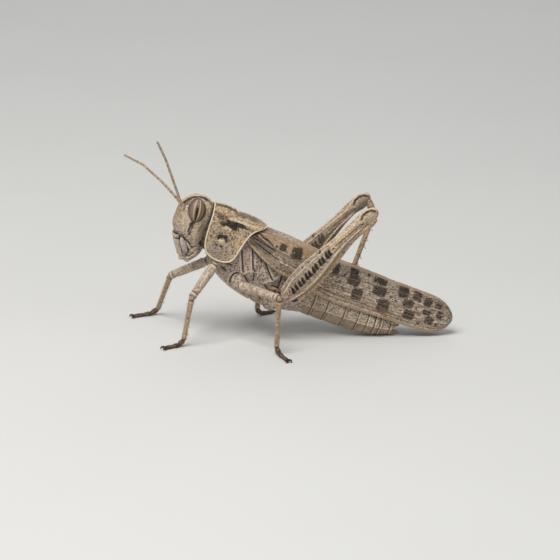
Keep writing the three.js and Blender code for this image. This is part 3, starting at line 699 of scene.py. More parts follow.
# %% Mouthparts
# height, front, rear, half width
LABRUM_HOOPS = [
    (16.2, -20.3, -19.3, 0.6), (16.5, -20.55, -18.9, 1.1), (17.0, -20.75, -18.8, 1.35),
    (17.66, -21.0, -19.1, 1.5), (18.5, -21.3, -19.5, 1.65), (19.5, -21.55, -19.8, 1.85),
    (20.2, -21.75, -20.0, 1.95), (20.6, -21.7, -20.1, 1.95), (21.0, -21.85, -20.1, 2.05),
    (21.4, -21.9, -20.2, 2.1), (21.75, -21.75, -20.4, 2.0),
]
labrum = barrel("labrum_flap", [((face, z), (rear, z), width) for z, face, rear, width in LABRUM_HOOPS])
points = from_middle(in_mm(labrum))
relief(labrum, -0.2, band(points[:, 2], 20.6, 0.13))
relief(labrum, -0.15, band(points[:, 2], 21.65, 0.12))
relief(labrum, -0.12, near(points[:, 1:], [(0, 19.4), (0, 16.2)], 0.3) * (points[:, 0] < -20), 0.3)
relief(labrum, 0.1, near(points[:, 1:], [(1.5, 20.2), (1.2, 17.0)], 0.25), 0.7)
LABRUM_GROOVE = [(-20.6, 21.4), (-20.4, 20.5), (-20.1, 18.4), (-19.6, 16.8)]
relief(labrum, -0.12, near(side_view(points), LABRUM_GROOVE, 0.1), 0.6)

lip_skin = plain_skin(
    "mouth chitin", "#cfbba8", 0.5, ("#7a675a", "#e0cdb9", 0.25, 0.25), ("#33271f", "#cbbcab")
)
finish_piece(labrum, lip_skin, "shell", "clypeus_labrum")

# %% [markdown]
# The jaws come in pairs, so each kind is a function of its side. A mandible is a ball pulled into a
# spindle. A maxilla is a short blade with a feeler of five beads, and the labium closes the mouth from
# below. A dark ball inside the mouth is a painted shadow, so no light shows between them.

# %% Jaws
jaw_skin = plain_skin(
    "polished jaw chitin", "#b3a69a", 0.35, ("#7b6d61", "#bdb0a4", 0.25, 0.1), ("#2f241d", "#c4b8ab")
)
# Dark paint for the painted shadow inside the mouth.
gullet_skin = plain_skin("painted mouth shadow", "#2f241d", 0.7)


def painted(piece, material):
    """The same piece with a material of its own, for joining to another."""
    piece.data.materials.clear()
    piece.data.materials.append(material)
    return piece


def mandible(side_name, side):
    """A spindle: a ball pulled long, with its upper end drawn to a point. A painted highlight runs pale
    down its front on a low raised line, and painted shade darkens the edges of its outline.
    """
    centre, size, lean = (-19.75, side * 2.05, 19.5), (0.68, 0.98, 2.12), -0.32
    piece = ball(f"mandible_{side_name}_shell", centre, size, lean, side * 0.1)
    flank = side_view(in_mm(piece), (centre[0], centre[2]), lean)
    relief(piece, -0.25, np.clip((flank[:, 1] - 0.6) / 1.4, 0, 1), 0.0)
    # A low raised line down the front, painted pale as a highlight.
    relief(piece, 0.1, near(flank, [(-0.35, 1.2), (-0.3, -1.0)], 0.2), 0.6)
    # The edges of the outline, painted dark as shade.
    rim = np.hypot(flank[:, 0] / size[0], flank[:, 1] / size[2])
    relief(piece, -0.03, np.clip((rim - 0.84) / 0.1, 0, 1))
    inner_lobe = ball("inner_lobe", (-18.72, side * 1.85, 19.2), (0.36, 0.8, 1.55), -0.5)
    return join(piece.name, [painted(piece, jaw_skin), painted(inner_lobe, lip_skin)])


def maxilla(side_name, side):
    """A blade behind the mandible, with a feeler of five beads below it."""
    blade = [
        (-16.8, side * 1.7, 19.6), (-17.4, side * 1.95, 18.8), (-18.1, side * 1.95, 18.0),
        (-18.9, side * 1.6, 17.2),
    ]
    pieces = [limb(
        "blade", stations(blade, 9), (0.4, 0.55, 0.62, 0.62, 0.6, 0.55, 0.5, 0.4, 0.15), around=4
    )]
    feeler = stations([
        (-17.0, side * 2.3, 18.3), (-17.7, side * 2.75, 17.5), (-18.5, side * 2.8, 17.1),
        (-19.4, side * 2.6, 16.75), (-20.2, side * 2.25, 16.6), (-20.7, side * 1.9, 16.75),
    ], 25)
    sizes = [0.24 * (0.75 + 0.25 * abs(math.sin(math.pi * i / 5))) for i in range(25)]
    sizes[-1] = 0.1
    pieces.append(limb("feeler", feeler, sizes, around=4))
    short = stations([
        (-17.8, side * 1.0, 16.6), (-18.7, side * 1.5, 16.0), (-19.5, side * 1.3, 15.95),
    ], 11)
    pieces.append(limb(
        "short_feeler", short, [0.3, 0.3, 0.24, 0.3, 0.3, 0.22, 0.28, 0.28, 0.25, 0.2, 0.08], around=3
    ))
    return join(f"maxilla_{side_name}_blade", pieces)


palp_skin = plain_skin("palp chitin", "#b7a592", 0.5, ("#5c4a3d", "#dbc9ae", 0.32, 0.3))
for side_name, side in SIDES.items():
    finish_piece(mandible(side_name, side), jaw_skin, "shell", "mandible_" + side_name)
    finish_piece(maxilla(side_name, side), palp_skin, "shell", "maxilla_" + side_name)
labium = limb(
    "labium_lip", stations([(-15.8, 0, 19.5), (-16.9, 0, 17.4), (-18.5, 0, 15.8)], 7),
    (0.6, 0.72, 0.78, 0.78, 0.7, 0.55, 0.25), around=4
)
# A dark ball inside the mouth: painted shadow that fills the gaps between the mouthparts.
gullet = ball("gullet", (-18.7, 0, 18.7), (1.7, 2.05, 2.2), -0.3)
labium = join("labium_lip", [painted(labium, lip_skin), painted(gullet, gullet_skin)])
finish_piece(labium, lip_skin, "shell", "labium")

# %% [markdown]
# A locust's feeler is a short thick base joint and then two dozen beads, each a little darker at its end.
# The bead's waist is modelled, and the dark ends are rings at equal distances from the feeler's root.

# %% Feelers
FEELERS = {
    "left": [
        (-19.5, -1.25, 26.4), (-20.6, -1.65, 28.4), (-21.9, -2.1, 32.0), (-23.7, -3.0, 37.0),
        (-25.6, -3.9, 41.0),
    ],
    "right": [
        (-19.7, 1.25, 26.2), (-21.2, 1.7, 28.2), (-23.9, 2.7, 31.0), (-27.6, 4.6, 34.0),
        (-31.3, 6.6, 35.5),
    ],
}
BEADS = 22
BEAD_STEPS = 3


def feeler_sizes():
    """Half widths from the base joint to the tip, with a waist between beads."""
    sizes = []
    for i in range(BEADS * BEAD_STEPS + 1):
        share = i / (BEADS * BEAD_STEPS)
        girth = 0.42 if share < 0.06 else 0.29 - 0.06 * share
        waist = 0.82 if i % BEAD_STEPS == 0 else 1.0
        sizes.append(girth * waist)
    sizes[-1] = 0.1
    return sizes


beads = Finish("feeler chitin", "#bda185", 0.5)
beads.dry_shell("#5a4535", "#cdb391", 0.25, 0.0)
reach = beads.add("VectorMath", {0: beads.place, 1: (-19.6, 0, 26.3)}, operation="DISTANCE")
turns = beads.add("Math", {0: reach, 1: 2 * math.pi / 1.3}, operation="MULTIPLY")
rings = beads.add("MapRange", {0: beads.add("Math", {0: turns}, operation="SINE"), 1: 0.2, 2: 0.9})
beads.stain(rings, "#7d604c", 0.38)
beads_skin = beads.done()
for side_name, path in FEELERS.items():
    feeler = limb("feeler_" + side_name, stations(path, BEADS * BEAD_STEPS + 1), feeler_sizes(), smooth=2)
    finish_piece(feeler, beads_skin, "pale_shell", "antenna_" + side_name)

# %% [markdown]
# The pronotum is a saddle-shaped shield of one curved plate. It is drawn as a grid whose edges follow
# four outline curves and whose width is a smooth function, which no row of operators could place as
# exactly. The keel, the cross furrows and the bead along the rim are then raised from it.

# %% Curved plates
def curve(knots, share):
    """Points of a smooth curve through its knots, for shares from 0 to 1."""
    knots = np.array(knots, float)
    knots = np.vstack((2 * knots[0] - knots[1], knots, 2 * knots[-1] - knots[-2]))
    runs = len(knots) - 3
    place = np.clip(share, 0, 1) * runs
    i = np.minimum(place.astype(int), runs - 1)
    t = (place - i)[..., None]
    a, b, c, d = knots[i], knots[i + 1], knots[i + 2], knots[i + 3]
    return 0.5 * (2 * b + (c - a) * t + (2 * a - 5 * b + 4 * c - d) * t ** 2
                  + (3 * b - a - 3 * c + d) * t ** 3)


def smooth_level(pairs, place):
    """A smooth function through a few (place, value) pairs."""
    places, values = np.array(pairs, float).T
    fine = np.linspace(places[0], places[-1], 200)
    level = np.interp(fine, places, values)
    kernel = np.hanning(19) / np.hanning(19).sum()
    level = np.convolve(np.pad(level, 9, mode="edge"), kernel, mode="valid")
    return np.interp(place, fine, level)


def sheet(name, columns, rows, surface):
    """A grid laid on surface(u, v), facing away from its own middle, with (u, v) as its UV map."""
    bpy.ops.object.select_all(action="DESELECT")
    bpy.ops.mesh.primitive_grid_add(x_subdivisions=columns, y_subdivisions=rows, size=1)
    piece = bpy.context.object
    piece.name = name
    flat = np.empty(len(piece.data.vertices) * 3)
    piece.data.vertices.foreach_get("co", flat)
    share = np.clip(flat.reshape(-1, 3)[:, :2] + 0.5, 0, 1)
    places = surface(share[:, 0], share[:, 1]) * MM + np.array(HOME)
    piece.data.vertices.foreach_set("co", places.ravel())
    piece.data.update()
    centre = Vector(places.mean(axis=0))
    facing = sum(face.normal.dot((face.center - centre).normalized()) for face in piece.data.polygons)
    if facing < 0:
        bpy.ops.object.mode_set(mode="EDIT")
        bpy.ops.mesh.select_all(action="SELECT")
        bpy.ops.mesh.flip_normals()
        bpy.ops.object.mode_set(mode="OBJECT")
    return piece


print("halfway along the knots 0, 1 and 4:", curve([(0,), (1,), (4,)], np.array([0.5])).tolist())

# %% [markdown]
# The four outline curves of the shield are its front edge, its rear edge, the line of its back and its
# hem. Three furrows cross it, a toothed keel runs along the back, and two blisters stand out on each
# flank.

# %% Pronotum
SHIELD_FRONT = [
    (-13.5, 27.55), (-13.95, 26.1), (-14.6, 24.2), (-15.3, 21.9), (-15.72, 19.6), (-15.45, 18.15),
]
SHIELD_REAR = [(-3.05, 22.75), (-4.8, 22.75), (-6.3, 22.5), (-7.5, 21.1), (-8.8, 19.05), (-9.95, 16.9)]
SHIELD_TOP = [
    (-13.5, 27.55), (-11.5, 27.1), (-9.6, 26.25), (-8.7, 25.65), (-6.9, 25.05), (-4.6, 24.0),
    (-3.05, 22.75),
]
SHIELD_HEM = [(-15.45, 18.15), (-14.2, 17.2), (-12.5, 16.5), (-10.7, 16.3), (-9.95, 16.9)]
SHIELD_WIDTHS = [(0, 3.75), (0.3, 3.85), (0.5, 4.0), (1, 4.55)]
SHIELD_BOW = 2 / 2.6


def shield_surface(u, v):
    """Points of the shield: u from front to rear, v from the left hem over the keel to the right hem."""
    side = np.where(v < 0.5, -1, 1)
    angle = np.abs(2 * v - 1) * math.pi / 2
    t = 1 - np.clip(np.cos(angle), 0, 1) ** SHIELD_BOW
    u2, t2 = u[:, None], t[:, None]
    along = curve(SHIELD_FRONT, t) * (1 - u2) + curve(SHIELD_REAR, t) * u2
    down = curve(SHIELD_TOP, u) * (1 - t2) + curve(SHIELD_HEM, u) * t2
    corners = sum(np.array(corner) * weight for corner, weight in (
        (SHIELD_TOP[0], (1 - u2) * (1 - t2)), (SHIELD_TOP[-1], u2 * (1 - t2)),
        (SHIELD_HEM[0], (1 - u2) * t2), (SHIELD_HEM[-1], u2 * t2),
    ))
    flat = along + down - corners
    width = side * smooth_level(SHIELD_WIDTHS, u) * np.sin(angle) ** SHIELD_BOW
    return np.stack((flat[:, 0], width, flat[:, 1]), axis=1)


shield = sheet("pronotum_shield", 90, 160, shield_surface)
points = from_middle(in_mm(shield))
flank = side_view(points)
FURROWS = [
    [(-11.6, 26.8), (-11.9, 25.2), (-12.5, 22.6), (-12.7, 21.2)],
    [(-10.4, 26.4), (-10.6, 24.6), (-11.4, 22.2)],
    [(-9.0, 25.7), (-9.1, 24.2), (-9.8, 22.0), (-10.6, 20.4)],
]
for furrow in FURROWS:
    relief(shield, -0.14, near(flank, furrow, 0.18), 0.22)
relief(shield, 0.12, near(flank, [(-10.8, 25.0), (-9.6, 24.65), (-8.2, 24.2), (-7.1, 23.7)], 0.22), 0.9)
relief(shield, 0.12, near(flank, [(-7.1, 23.7), (-5.4, 23.2), (-4.2, 22.9)], 0.35), 0.45)
relief(shield, 0.22, near(flank, [(-11.5, 23.3), (-10.85, 22.85)], 0.42), 1)
relief(shield, 0.22, near(flank, [(-12.65, 20.65), (-12.15, 20.6)], 0.45), 0.9)
keel = band(points[:, 1], 0, 0.26)
teeth = 0.75 + 0.25 * np.sin(points[:, 0] * 2 * math.pi / 0.9)
relief(shield, 0.24, keel * teeth)
ahead = np.clip((-8.9 - points[:, 0]) / 0.5, 0, 1) * np.clip((points[:, 0] + 13.5) / 0.3, 0, 1)
relief(shield, -0.1, band(points[:, 1], 0.85, 0.5) * ahead)
modify(shield, "SOLIDIFY", thickness=0.42 * MM, offset=-1)
print("shield vertices:", len(shield.data.vertices))

# %% [markdown]
# The shield is buff with a near black mark behind the middle of each flank and a smaller one below it.
# Its rim is a round cream bead, so it is a limb laid along the edge of the sheet, which is run through
# once.

# %% Pronotum finish and rim
buff = Finish("shield chitin", "#b39b80", 0.5)
buff.dry_shell("#6a5440", "#c6ae90", 0.35, 0.7, grain=0.4)
buff.mark("#9d8f86", 0.6, [(-13.2, 18.9, 2.0, 1.7, 30)], 0.8)
buff.mark("#cdab82", 0.65, [
    (-11.4, 26.2, 2.2, 0.6, -22), (-5.4, 23.3, 2.4, 0.6, -24), (-8.6, 20.6, 1.1, 0.8, 60),
], 0.6)
buff.mark(
    "#5c4a3c", 0.75,
    streaks([(-9.2, 25.6), (-7.0, 24.9), (-5.0, 24.1)], 0.26) + [(-12.9, 25.9, 0.7, 0.35, -35)], 0.5
)
buff.mark("#5a4636", 0.7, [
    (-12.3, 25.3, 1.1, 0.5, -30), (-11.2, 25.1, 0.8, 0.5, -25), (-6.9, 23.1, 0.9, 0.25, -36),
], 0.7)
buff.mark("#150e0a", 0.95, [
    (-11.6, 23.95, 1.0, 0.45, -12), (-10.8, 24.3, 0.7, 0.45, -25), (-10.1, 23.7, 1.05, 0.72, -20),
    (-9.8, 23.25, 0.6, 0.5, 0), (-8.9, 23.85, 1.25, 0.5, -20), (-7.8, 23.4, 0.8, 0.24, -30),
    (-12.4, 21.62, 0.95, 0.4, -4), (-11.5, 21.45, 0.4, 0.45, -30), (-13.0, 21.3, 0.34, 0.3, 0),
    (-12.4, 19.65, 0.36, 0.17, 0), (-11.4, 20.8, 0.25, 0.4, 0), (-13.4, 19.9, 0.3, 0.2, 0),
], 0.3)
buff.stain(buff.pits(0.46, 0.28, 0.6), "#46362a", 0.75)
buff.lines("#33271f", "#dcc7a4")
buff_skin = buff.done()

rim_paint = Finish("rim chitin", "#e4d3b6", 0.45)
rim_paint.stain(rim_paint.patches(0.6, 0.5, 0.75), "#c7ae8c", 0.5)
rim_skin = rim_paint.done()
LONG, SHORT = 50, 30
along = np.concatenate((np.linspace(0, 1, SHORT), np.ones(LONG), np.linspace(1, 0, SHORT), np.zeros(LONG)))
across = np.concatenate((
    np.zeros(SHORT), np.linspace(0, 1, LONG), np.ones(SHORT), np.linspace(1, 0, LONG),
))
to_middle = -(SHORT + LONG + SHORT + LONG // 2)
rim_path = stations(shield_surface(np.roll(along, to_middle), np.roll(across, to_middle)), 150)
rim = limb("shield_rim", rim_path, [0.145] * 150, around=3, smooth=1)
shield.data.materials.append(buff_skin)
rim.data.materials.append(rim_skin)
shield = join("pronotum_shield", [shield, rim])
finish_piece(shield, buff_skin, "pale_shell", "pronotum")

# %% [markdown]
# The thorax is a box of side plates that carries legs and wings. Each of its three rings is a barrel
# whose hoops lean with the body. Seams divide the plates and stand back in dark lines with pale lips.

# %% Body outline
TRUNK_FLOOR = [(-15.0, 17.4), (-13.2, 13.2), (-10.4, 10.3), (-7.2, 8.1), (-3.6, 6.3), (0, 5.5), (3.4, 4.9)]
TRUNK_ROOF = [
    (-13.4, 26.6), (-11.6, 26.0), (-8.6, 24.4), (-5.0, 22.3), (-1.0, 20.4), (3.0, 18.0), (6.6, 15.9),
]
TRUNK_WIDTHS = [(0, 2.3), (0.15, 2.75), (0.3, 3.45), (0.5, 3.75), (0.7, 3.55), (1, 3.0)]


def body_hoops(floor_line, roof_line, widths, start, end, count, swell=lambda share: 0.0):
    """Hoops between two stations of a body, each let out by swell(share of the way) mm."""
    hoops = []
    for share in np.linspace(0, 1, count):
        station = np.array([start + (end - start) * share])
        low = curve(floor_line, station)[0]
        high = curve(roof_line, station)[0]
        lift = unit(high - low) * swell(share)
        width = float(smooth_level(widths, station)[0]) + swell(share)
        hoops.append((tuple(low - lift), tuple(high + lift), width))
    return hoops


print("thorax length in mm:", TRUNK_ROOF[-1][0] - TRUNK_ROOF[0][0])

# %% [markdown]
# The side plates are greyer than the shield and heavily pitted. The lips of the seams are drawn first, so
# that each seam then cuts into its own lip. The neck is soft skin, coloured dark brown with darker
# patches, and belongs to the first ring. A short waist closes the last ring towards the abdomen.

# %% Thorax
PLATE_SEAMS = [
    [(-8.2, 18.6), (-8.05, 16.4), (-7.85, 14.2)], [(-6.05, 19.0), (-5.85, 14.9), (-5.4, 14.3)],
    [(-5.55, 18.4), (-4.55, 17.3), (-3.45, 16.2), (-3.15, 15.3), (-2.3, 13.1), (-1.9, 12.5)],
    [(-9.5, 11.2), (-9.8, 12.0), (-9.45, 12.85), (-8.6, 13.3), (-7.95, 13.4), (-7.3, 12.85), (-6.9, 12.2)],
    [(-10.3, 11.6), (-10.1, 12.9), (-9.6, 13.7), (-8.7, 14.1)], [(-5.65, 13.9), (-5.75, 12.4)],
    [(-0.05, 13.2), (-0.7, 10.8), (-2.0, 11.3)], [(-3.4, 11.4), (-2.8, 10.6), (-1.9, 9.3)],
    [(-4.3, 9.2), (-4.15, 8.1)], [(-2.85, 8.9), (-2.7, 7.7)], [(-11.6, 16.1), (-10.2, 15.5)],
]
PLATE_LIPS = [
    [(-8.55, 18.4), (-8.4, 16.4), (-8.2, 14.5)], [(-6.4, 18.8), (-6.2, 14.9)],
    [(-2.9, 15.6), (-1.7, 12.7)],
    [(-10.6, 11.4), (-10.55, 12.7), (-10.05, 13.7), (-9.0, 14.3), (-8.0, 14.0)],
    [(-7.8, 13.85), (-6.5, 14.45), (-5.95, 14.4)], [(-2.0, 12.3), (-0.4, 13.5)],
    [(-3.5, 11.9), (-2.2, 12.35)], [(-12.6, 13.0), (-10.6, 10.9), (-7.6, 8.8)],
    [(-3.9, 15.2), (-3.3, 13.2)],
]

side_plate = Finish("side plate chitin", "#bda898", 0.55)
side_plate.dry_shell("#5f4e42", "#d3bfae", 0.36, 0.6, grain=0.36)
side_plate.mark("#98806c", 0.4, [(-9.2, 11.2, 3.0, 1.0, 40), (-4.2, 9.0, 2.2, 1.1, 20)], 0.8)
side_plate.mark("#8b8078", 0.85, [(-1.1, 12.1, 0.95, 0.85, -60)], 0.5)
side_plate.mark("#a48a74", 0.5, [(-6.9, 16.6, 0.5, 1.4, 5), (-9.9, 16.2, 1.0, 0.9, 0)], 0.8)
side_plate.mark("#392c24", 0.85, [
    (-4.35, 16.4, 0.22, 0.32, 0), (-4.2, 15.5, 0.18, 0.28, 0), (-3.6, 15.0, 0.2, 0.3, 0),
    (-3.3, 14.0, 0.16, 0.3, 0), (-7.0, 15.2, 0.14, 0.2, 0), (-9.3, 15.9, 0.16, 0.2, 0),
    (-5.2, 16.2, 0.12, 0.2, 0), (-10.3, 14.2, 0.14, 0.2, 0), (-11.6, 14.6, 0.7, 0.3, -50),
    (-4.9, 12.9, 0.16, 0.3, 0), (-4.7, 17.9, 0.5, 0.2, -40),
], 0.4)
side_plate.lines("#33271f", "#dcc9b4")
plate_skin = side_plate.done()

THORAX = {"prothorax": (0.0, 0.34, 6), "mesothorax": (0.27, 0.58, 6), "metathorax": (0.52, 1.0, 8)}
for ring_name, (start, end, count) in THORAX.items():
    ring = barrel(
        ring_name + "_plates", body_hoops(TRUNK_FLOOR, TRUNK_ROOF, TRUNK_WIDTHS, start, end, count),
        sides=28
    )
    for line in PLATE_LIPS:
        relief(ring, 0.16, near(side_view(in_mm(ring)), line, 0.24), 0.9)
    for line in PLATE_SEAMS:
        relief(ring, -0.28, near(side_view(in_mm(ring)), line, 0.17))
    if ring_name == "prothorax":
        dark_neck = Finish("neck skin", "#6b5a4c", 0.7)
        dark_neck.stain(dark_neck.patches(0.8, 0.45, 0.6), "#3b2e26", 0.8)
        neck = barrel("neck", [
            ((-16.9, 18.9), (-15.6, 24.5), 2.0), ((-16.2, 18.4), (-14.6, 25.0), 2.4),
            ((-15.0, 17.7), (-13.4, 25.6), 2.6), ((-14.0, 16.9), (-12.4, 25.4), 2.4),
        ])
        ring = join(ring.name, [painted(ring, plate_skin), painted(neck, dark_neck.done())])
    if ring_name == "metathorax":
        waist = barrel("waist", [
            ((1.4, 5.5), (4.9, 17.0), 2.7), ((3.0, 5.0), (6.4, 15.9), 2.8),
            ((4.9, 4.55), (8.0, 14.3), 2.85),
        ])
        ring = join(ring.name, [painted(ring, plate_skin), painted(waist, plate_skin)])
    finish_piece(ring, plate_skin, "shell", ring_name)

# %% [markdown]
# The abdomen is a telescope of eight rings. Each ring's rear edge stands over the start of the next, pale
# and a little flared, and a fold runs along its side where the back plate overlaps the belly plate. A
# line just ahead of the pale edge and the ring's very end are painted dark as shade.

# %% Abdomen
ABDOMEN_FLOOR = [
    (3.7, 4.8), (6.2, 3.9), (9.0, 2.85), (12.5, 1.65), (15.5, 0.65), (18.5, 0.05), (20.5, 0.0),
    (22.6, 0.0),
]
ABDOMEN_ROOF = [
    (7.0, 15.4), (9.0, 13.4), (11.5, 11.0), (14.5, 8.9), (17.5, 7.0), (20.0, 5.3), (21.8, 4.2),
    (23.4, 2.9),
]
ABDOMEN_WIDTHS = [(0, 2.95), (0.3, 3.0), (0.6, 2.7), (0.85, 2.2), (1, 1.4)]
RING_ENDS = [0, 0.14, 0.28, 0.43, 0.56, 0.655, 0.745, 0.83, 1]
SIDE_FOLD = [(4.4, 7.2), (8.0, 6.0), (12.5, 4.4), (16.8, 2.9), (20.0, 2.0), (22.8, 1.4)]

belly = Finish("belly ring chitin", "#b9a491", 0.5)
belly.dry_shell("#5f4d3e", "#d2c0a9", 0.34, 0.5, grain=0.36)
under_fold = belly.add("SeparateXYZ", {0: belly.shaken})
fold_height = belly.add("Math", {0: under_fold.outputs["X"], 1: -0.325, 2: 8.6}, operation="MULTIPLY_ADD")
drop = belly.add("Math", {0: under_fold.outputs["Z"], 1: fold_height}, operation="SUBTRACT")
belly.stain(belly.add("MapRange", {0: drop, 1: 0.1, 2: -0.3}), "#a28c72", 0.75)
belly.mark(
    "#4a3929", 0.8,
    [(x, 8.6 - 0.325 * x + 0.35, 0.13, 0.13, 0) for x in (8.2, 11.0, 13.2, 15.3, 17.2)] + [
        (7.9, 7.0, 0.1, 0.2, 0), (10.4, 6.4, 0.12, 0.1, 0), (11.6, 6.2, 0.12, 0.1, 0),
    ],
    0.4
)
belly.lines("#453527", "#dac79f", 0.8)
belly_skin = belly.done()
for number in range(1, 9):
    start = max(0.0, RING_ENDS[number - 1] - 0.025)
    end = RING_ENDS[number]

    def flare(share):
        """Narrow where it enters the ring before it, widest just before its own rear edge."""
        return -0.12 + 0.16 * min(share / 0.9, 1.0) - (0.08 if share > 0.97 else 0.0)

    hoops = body_hoops(ABDOMEN_FLOOR, ABDOMEN_ROOF, ABDOMEN_WIDTHS, start, end, 7, flare)
    ring = barrel(f"abdomen_ring_{number}", hoops, sides=24)
    points = in_mm(ring)
    drop = points[:, 2] - np.interp(points[:, 0], *np.array(SIDE_FOLD).T)
    low_end = curve(ABDOMEN_FLOOR, np.array([end]))[0]
    high_end = curve(ABDOMEN_ROOF, np.array([end]))[0]
    span = unit(high_end - low_end)
    inside = (low_end - points[:, [0, 2]]) @ np.array((span[1], -span[0]))
    relief(ring, -0.1, np.clip(-drop / 0.2, 0, 1), 0.1)
    relief(ring, 0.08, band(drop, 0.12, 0.13), 0.9)
    relief(ring, 0.08, band(inside, 0.36, 0.16) * (drop > -0.2), 0.95)
    relief(ring, 0.05, band(inside, 0.36, 0.16) * (drop < -0.2), 0.6)
    # A thin groove ahead of the rear border is painted dark as a shadow line, and the ring's very end,
    # under its rim, is painted dark as shade.
    relief(ring, -0.06, band(inside, 0.7, 0.16), 0.8)
    brush(ring, "seam", np.clip((0.16 - inside) / 0.1, 0, 1))
    finish_piece(ring, belly_skin, "belly", f"abdomen_segment_{number}")

# %% [markdown]
# The tail of a female ends in two pairs of short valves for digging, with a small cone, the cercus, at
# each side. All of them are limbs that taper to a point.

# %% Tail
for name, heights in {"upper": (2.0, 1.9, 1.85, 2.1), "lower": (0.8, 0.7, 0.6, 0.55)}.items():
    path = [(x, 0, z) for x, z in zip((21.2, 22.4, 23.6, 24.5), heights)]
    valve = limb(
        f"ovipositor_{name}_valve", stations(path, 7), (0.75, 0.72, 0.66, 0.6, 0.5, 0.36, 0.12), around=4
    )
    finish_piece(valve, belly_skin, "belly", f"ovipositor_{name}")
for side_name, side in SIDES.items():
    path = [(21.4, side * 1.15, 3.35), (22.7, side * 1.45, 2.95), (23.6, side * 1.5, 2.75)]
    finish_piece(limb(
        f"cercus_{side_name}_cone", stations(path, 5), (0.4, 0.38, 0.32, 0.24, 0.08)
    ), belly_skin, "belly", f"cercus_{side_name}")

# %% [markdown]
# The fore wings, or tegmina, are leathery roofs over the body. Long veins run from root to tip and fine
# cross veins net them together. The veins follow the sheet, so they are drawn on its UV map. The dark
# blotches stand in rows and colour only the cells, which leaves the veins paler across them.

# %% Fore wing shape
WING_ROOT = (-7.2, 0, 23.2)
WING_PITCH = math.radians(21)
WING_LENGTH = 46.6
WING_TOP = [
    (0, -0.2), (4.2, 0.5), (9.2, 0.55), (12.6, 0.3), (20, -0.35), (25, -0.25), (33, -0.4), (40, -0.25),
    (WING_LENGTH, -0.2),
]
WING_LOW = [
    (0, -1.6), (1, -2.45), (2.5, -3.5), (5.5, -4.9), (8.1, -5.9), (10.6, -6.4), (17, -7.5), (22.4, -8.05),
    (30, -7.85), (38, -7.6), (WING_LENGTH, -7.3),
]
WING_WIDTHS = [
    (0, 4.2), (5, 4.35), (10, 4.3), (14, 4.0), (22, 3.5), (28, 3.0), (34, 2.5), (40, 2.0),
    (WING_LENGTH, 1.4),
]
WING_PARTING = 0.12
WING_BOW = 2 / 3.2
TIP_START = 40.8
TIP_RADIUS = 5.82


def wing_surface(side):
    """The surface of one fore wing: u from root to tip, v from the middle of the back to the low edge."""
    def surface(u, v):
        to_tip = np.sin(np.clip(u * 10 - 9, 0, 1) * math.pi / 2)
        a = WING_LENGTH * (1.0378 * np.minimum(u, 0.9) + 0.066 * to_tip)
        top, low = smooth_level(WING_TOP, a), smooth_level(WING_LOW, a)
        middle = (low + top) / 2
        tip = np.sqrt(np.clip(1 - (np.clip(a - TIP_START, 0, None) / TIP_RADIUS) ** 2.2, 0, 1))
        angle = v * math.pi / 2
        height = low + (top - low) * np.clip(np.cos(angle), 0, 1) ** WING_BOW
        above = middle + (height - middle) * tip
        spread = tip * np.sin(angle) ** WING_BOW + (1 - tip) * 0.35
        out = side * (WING_PARTING + (smooth_level(WING_WIDTHS, a) - WING_PARTING) * spread)
        x = WING_ROOT[0] + a * math.cos(WING_PITCH) + above * math.sin(WING_PITCH)
        z = WING_ROOT[2] - a * math.sin(WING_PITCH) + above * math.cos(WING_PITCH)
        return np.stack((x, out, z), axis=1)
    return surface


print("fore wing length in mm:", WING_LENGTH)

# %% [markdown]
# The wing is leather-like, so it is dull, pale buff and freckled. The net of veins comes from a cell
# pattern stretched along the wing and the long veins from a cosine across it, both on the UV map. Coats
# named for their colours wait for paths that are painted on the mesh in the next cell.

# %% Fore wing finish
tegmen = Finish("leathery wing", "#c9b6a2", 0.5, WING_ROOT, WING_PITCH, wobble=0.14)
tegmen.stain(tegmen.patches(3.0, 0.4, 0.65), "#c6ad92", 0.6)
tegmen.stain(tegmen.patches(0.9, 0.48, 0.64, 4, (2.5, 1, 1)), "#8f7a6a", 0.6)
tegmen.stain(tegmen.patches(0.32, 0.5, 0.6, 3, (1.8, 1, 1)), "#58453a", 0.85)
tegmen.stain(tegmen.patches(0.36, 0.5, 0.6, 3, (1.5, 1, 1)), "#e9dac6", 0.85)
net = tegmen.add("UVMap")
long_way = tegmen.add("Mapping", {0: net, 3: (WING_LENGTH / 0.8, 11 / 0.42, 1)})
cells = tegmen.add(
    "TexVoronoi", {"Vector": long_way, "Scale": 1.0, "Randomness": 0.7}, feature="DISTANCE_TO_EDGE",
    voronoi_dimensions="2D"
)
cross_veins = tegmen.add("MapRange", {0: cells, 1: 0.14, 2: 0.04})
across = tegmen.add("SeparateXYZ", {0: net})
stripes = tegmen.add("Math", {0: across.outputs["Y"], 1: 2 * math.pi * 21}, operation="MULTIPLY")
long_veins = tegmen.add("MapRange", {
    0: tegmen.add("Math", {0: stripes}, operation="COSINE"), 1: 0.6, 2: 0.95,
})
tegmen.stain(long_veins, "#7d6655", 0.32)
tegmen.mark("#cdb394", 0.75, [(2.6, -3.4, 1.8, 0.5, -42), (6.0, -4.9, 2.8, 0.5, -20)], 0.7)
tegmen.coat("orange", "#cba47b", 0.8)
tegmen.coat("violet", "#7d706c", 0.7)
tegmen.coat("brown", "#6f5643", 0.6)
tegmen.coat("black", "#18110d", 0.95)
tegmen.coat("pale", "#d3b999", 0.85)
FLECKS = [
    (8.97, -4.31), (10.3, -4.4), (9.0, -4.75), (8.4, -5.3), (10.1, -5.1), (6.2, -3.2), (12.5, -4.9),
    (14.2, -5.6), (17.0, -6.0), (21.5, -6.3), (15.2, -4.4), (20.8, -3.9), (17.9, -2.6), (22.6, -4.6),
    (27.7, -6.6), (33.2, -7.1), (28.4, -4.0), (22.0, -1.9), (34.0, -3.4), (39.2, -4.4), (18.6, -5.2),
    (41.9, -3.4),
]
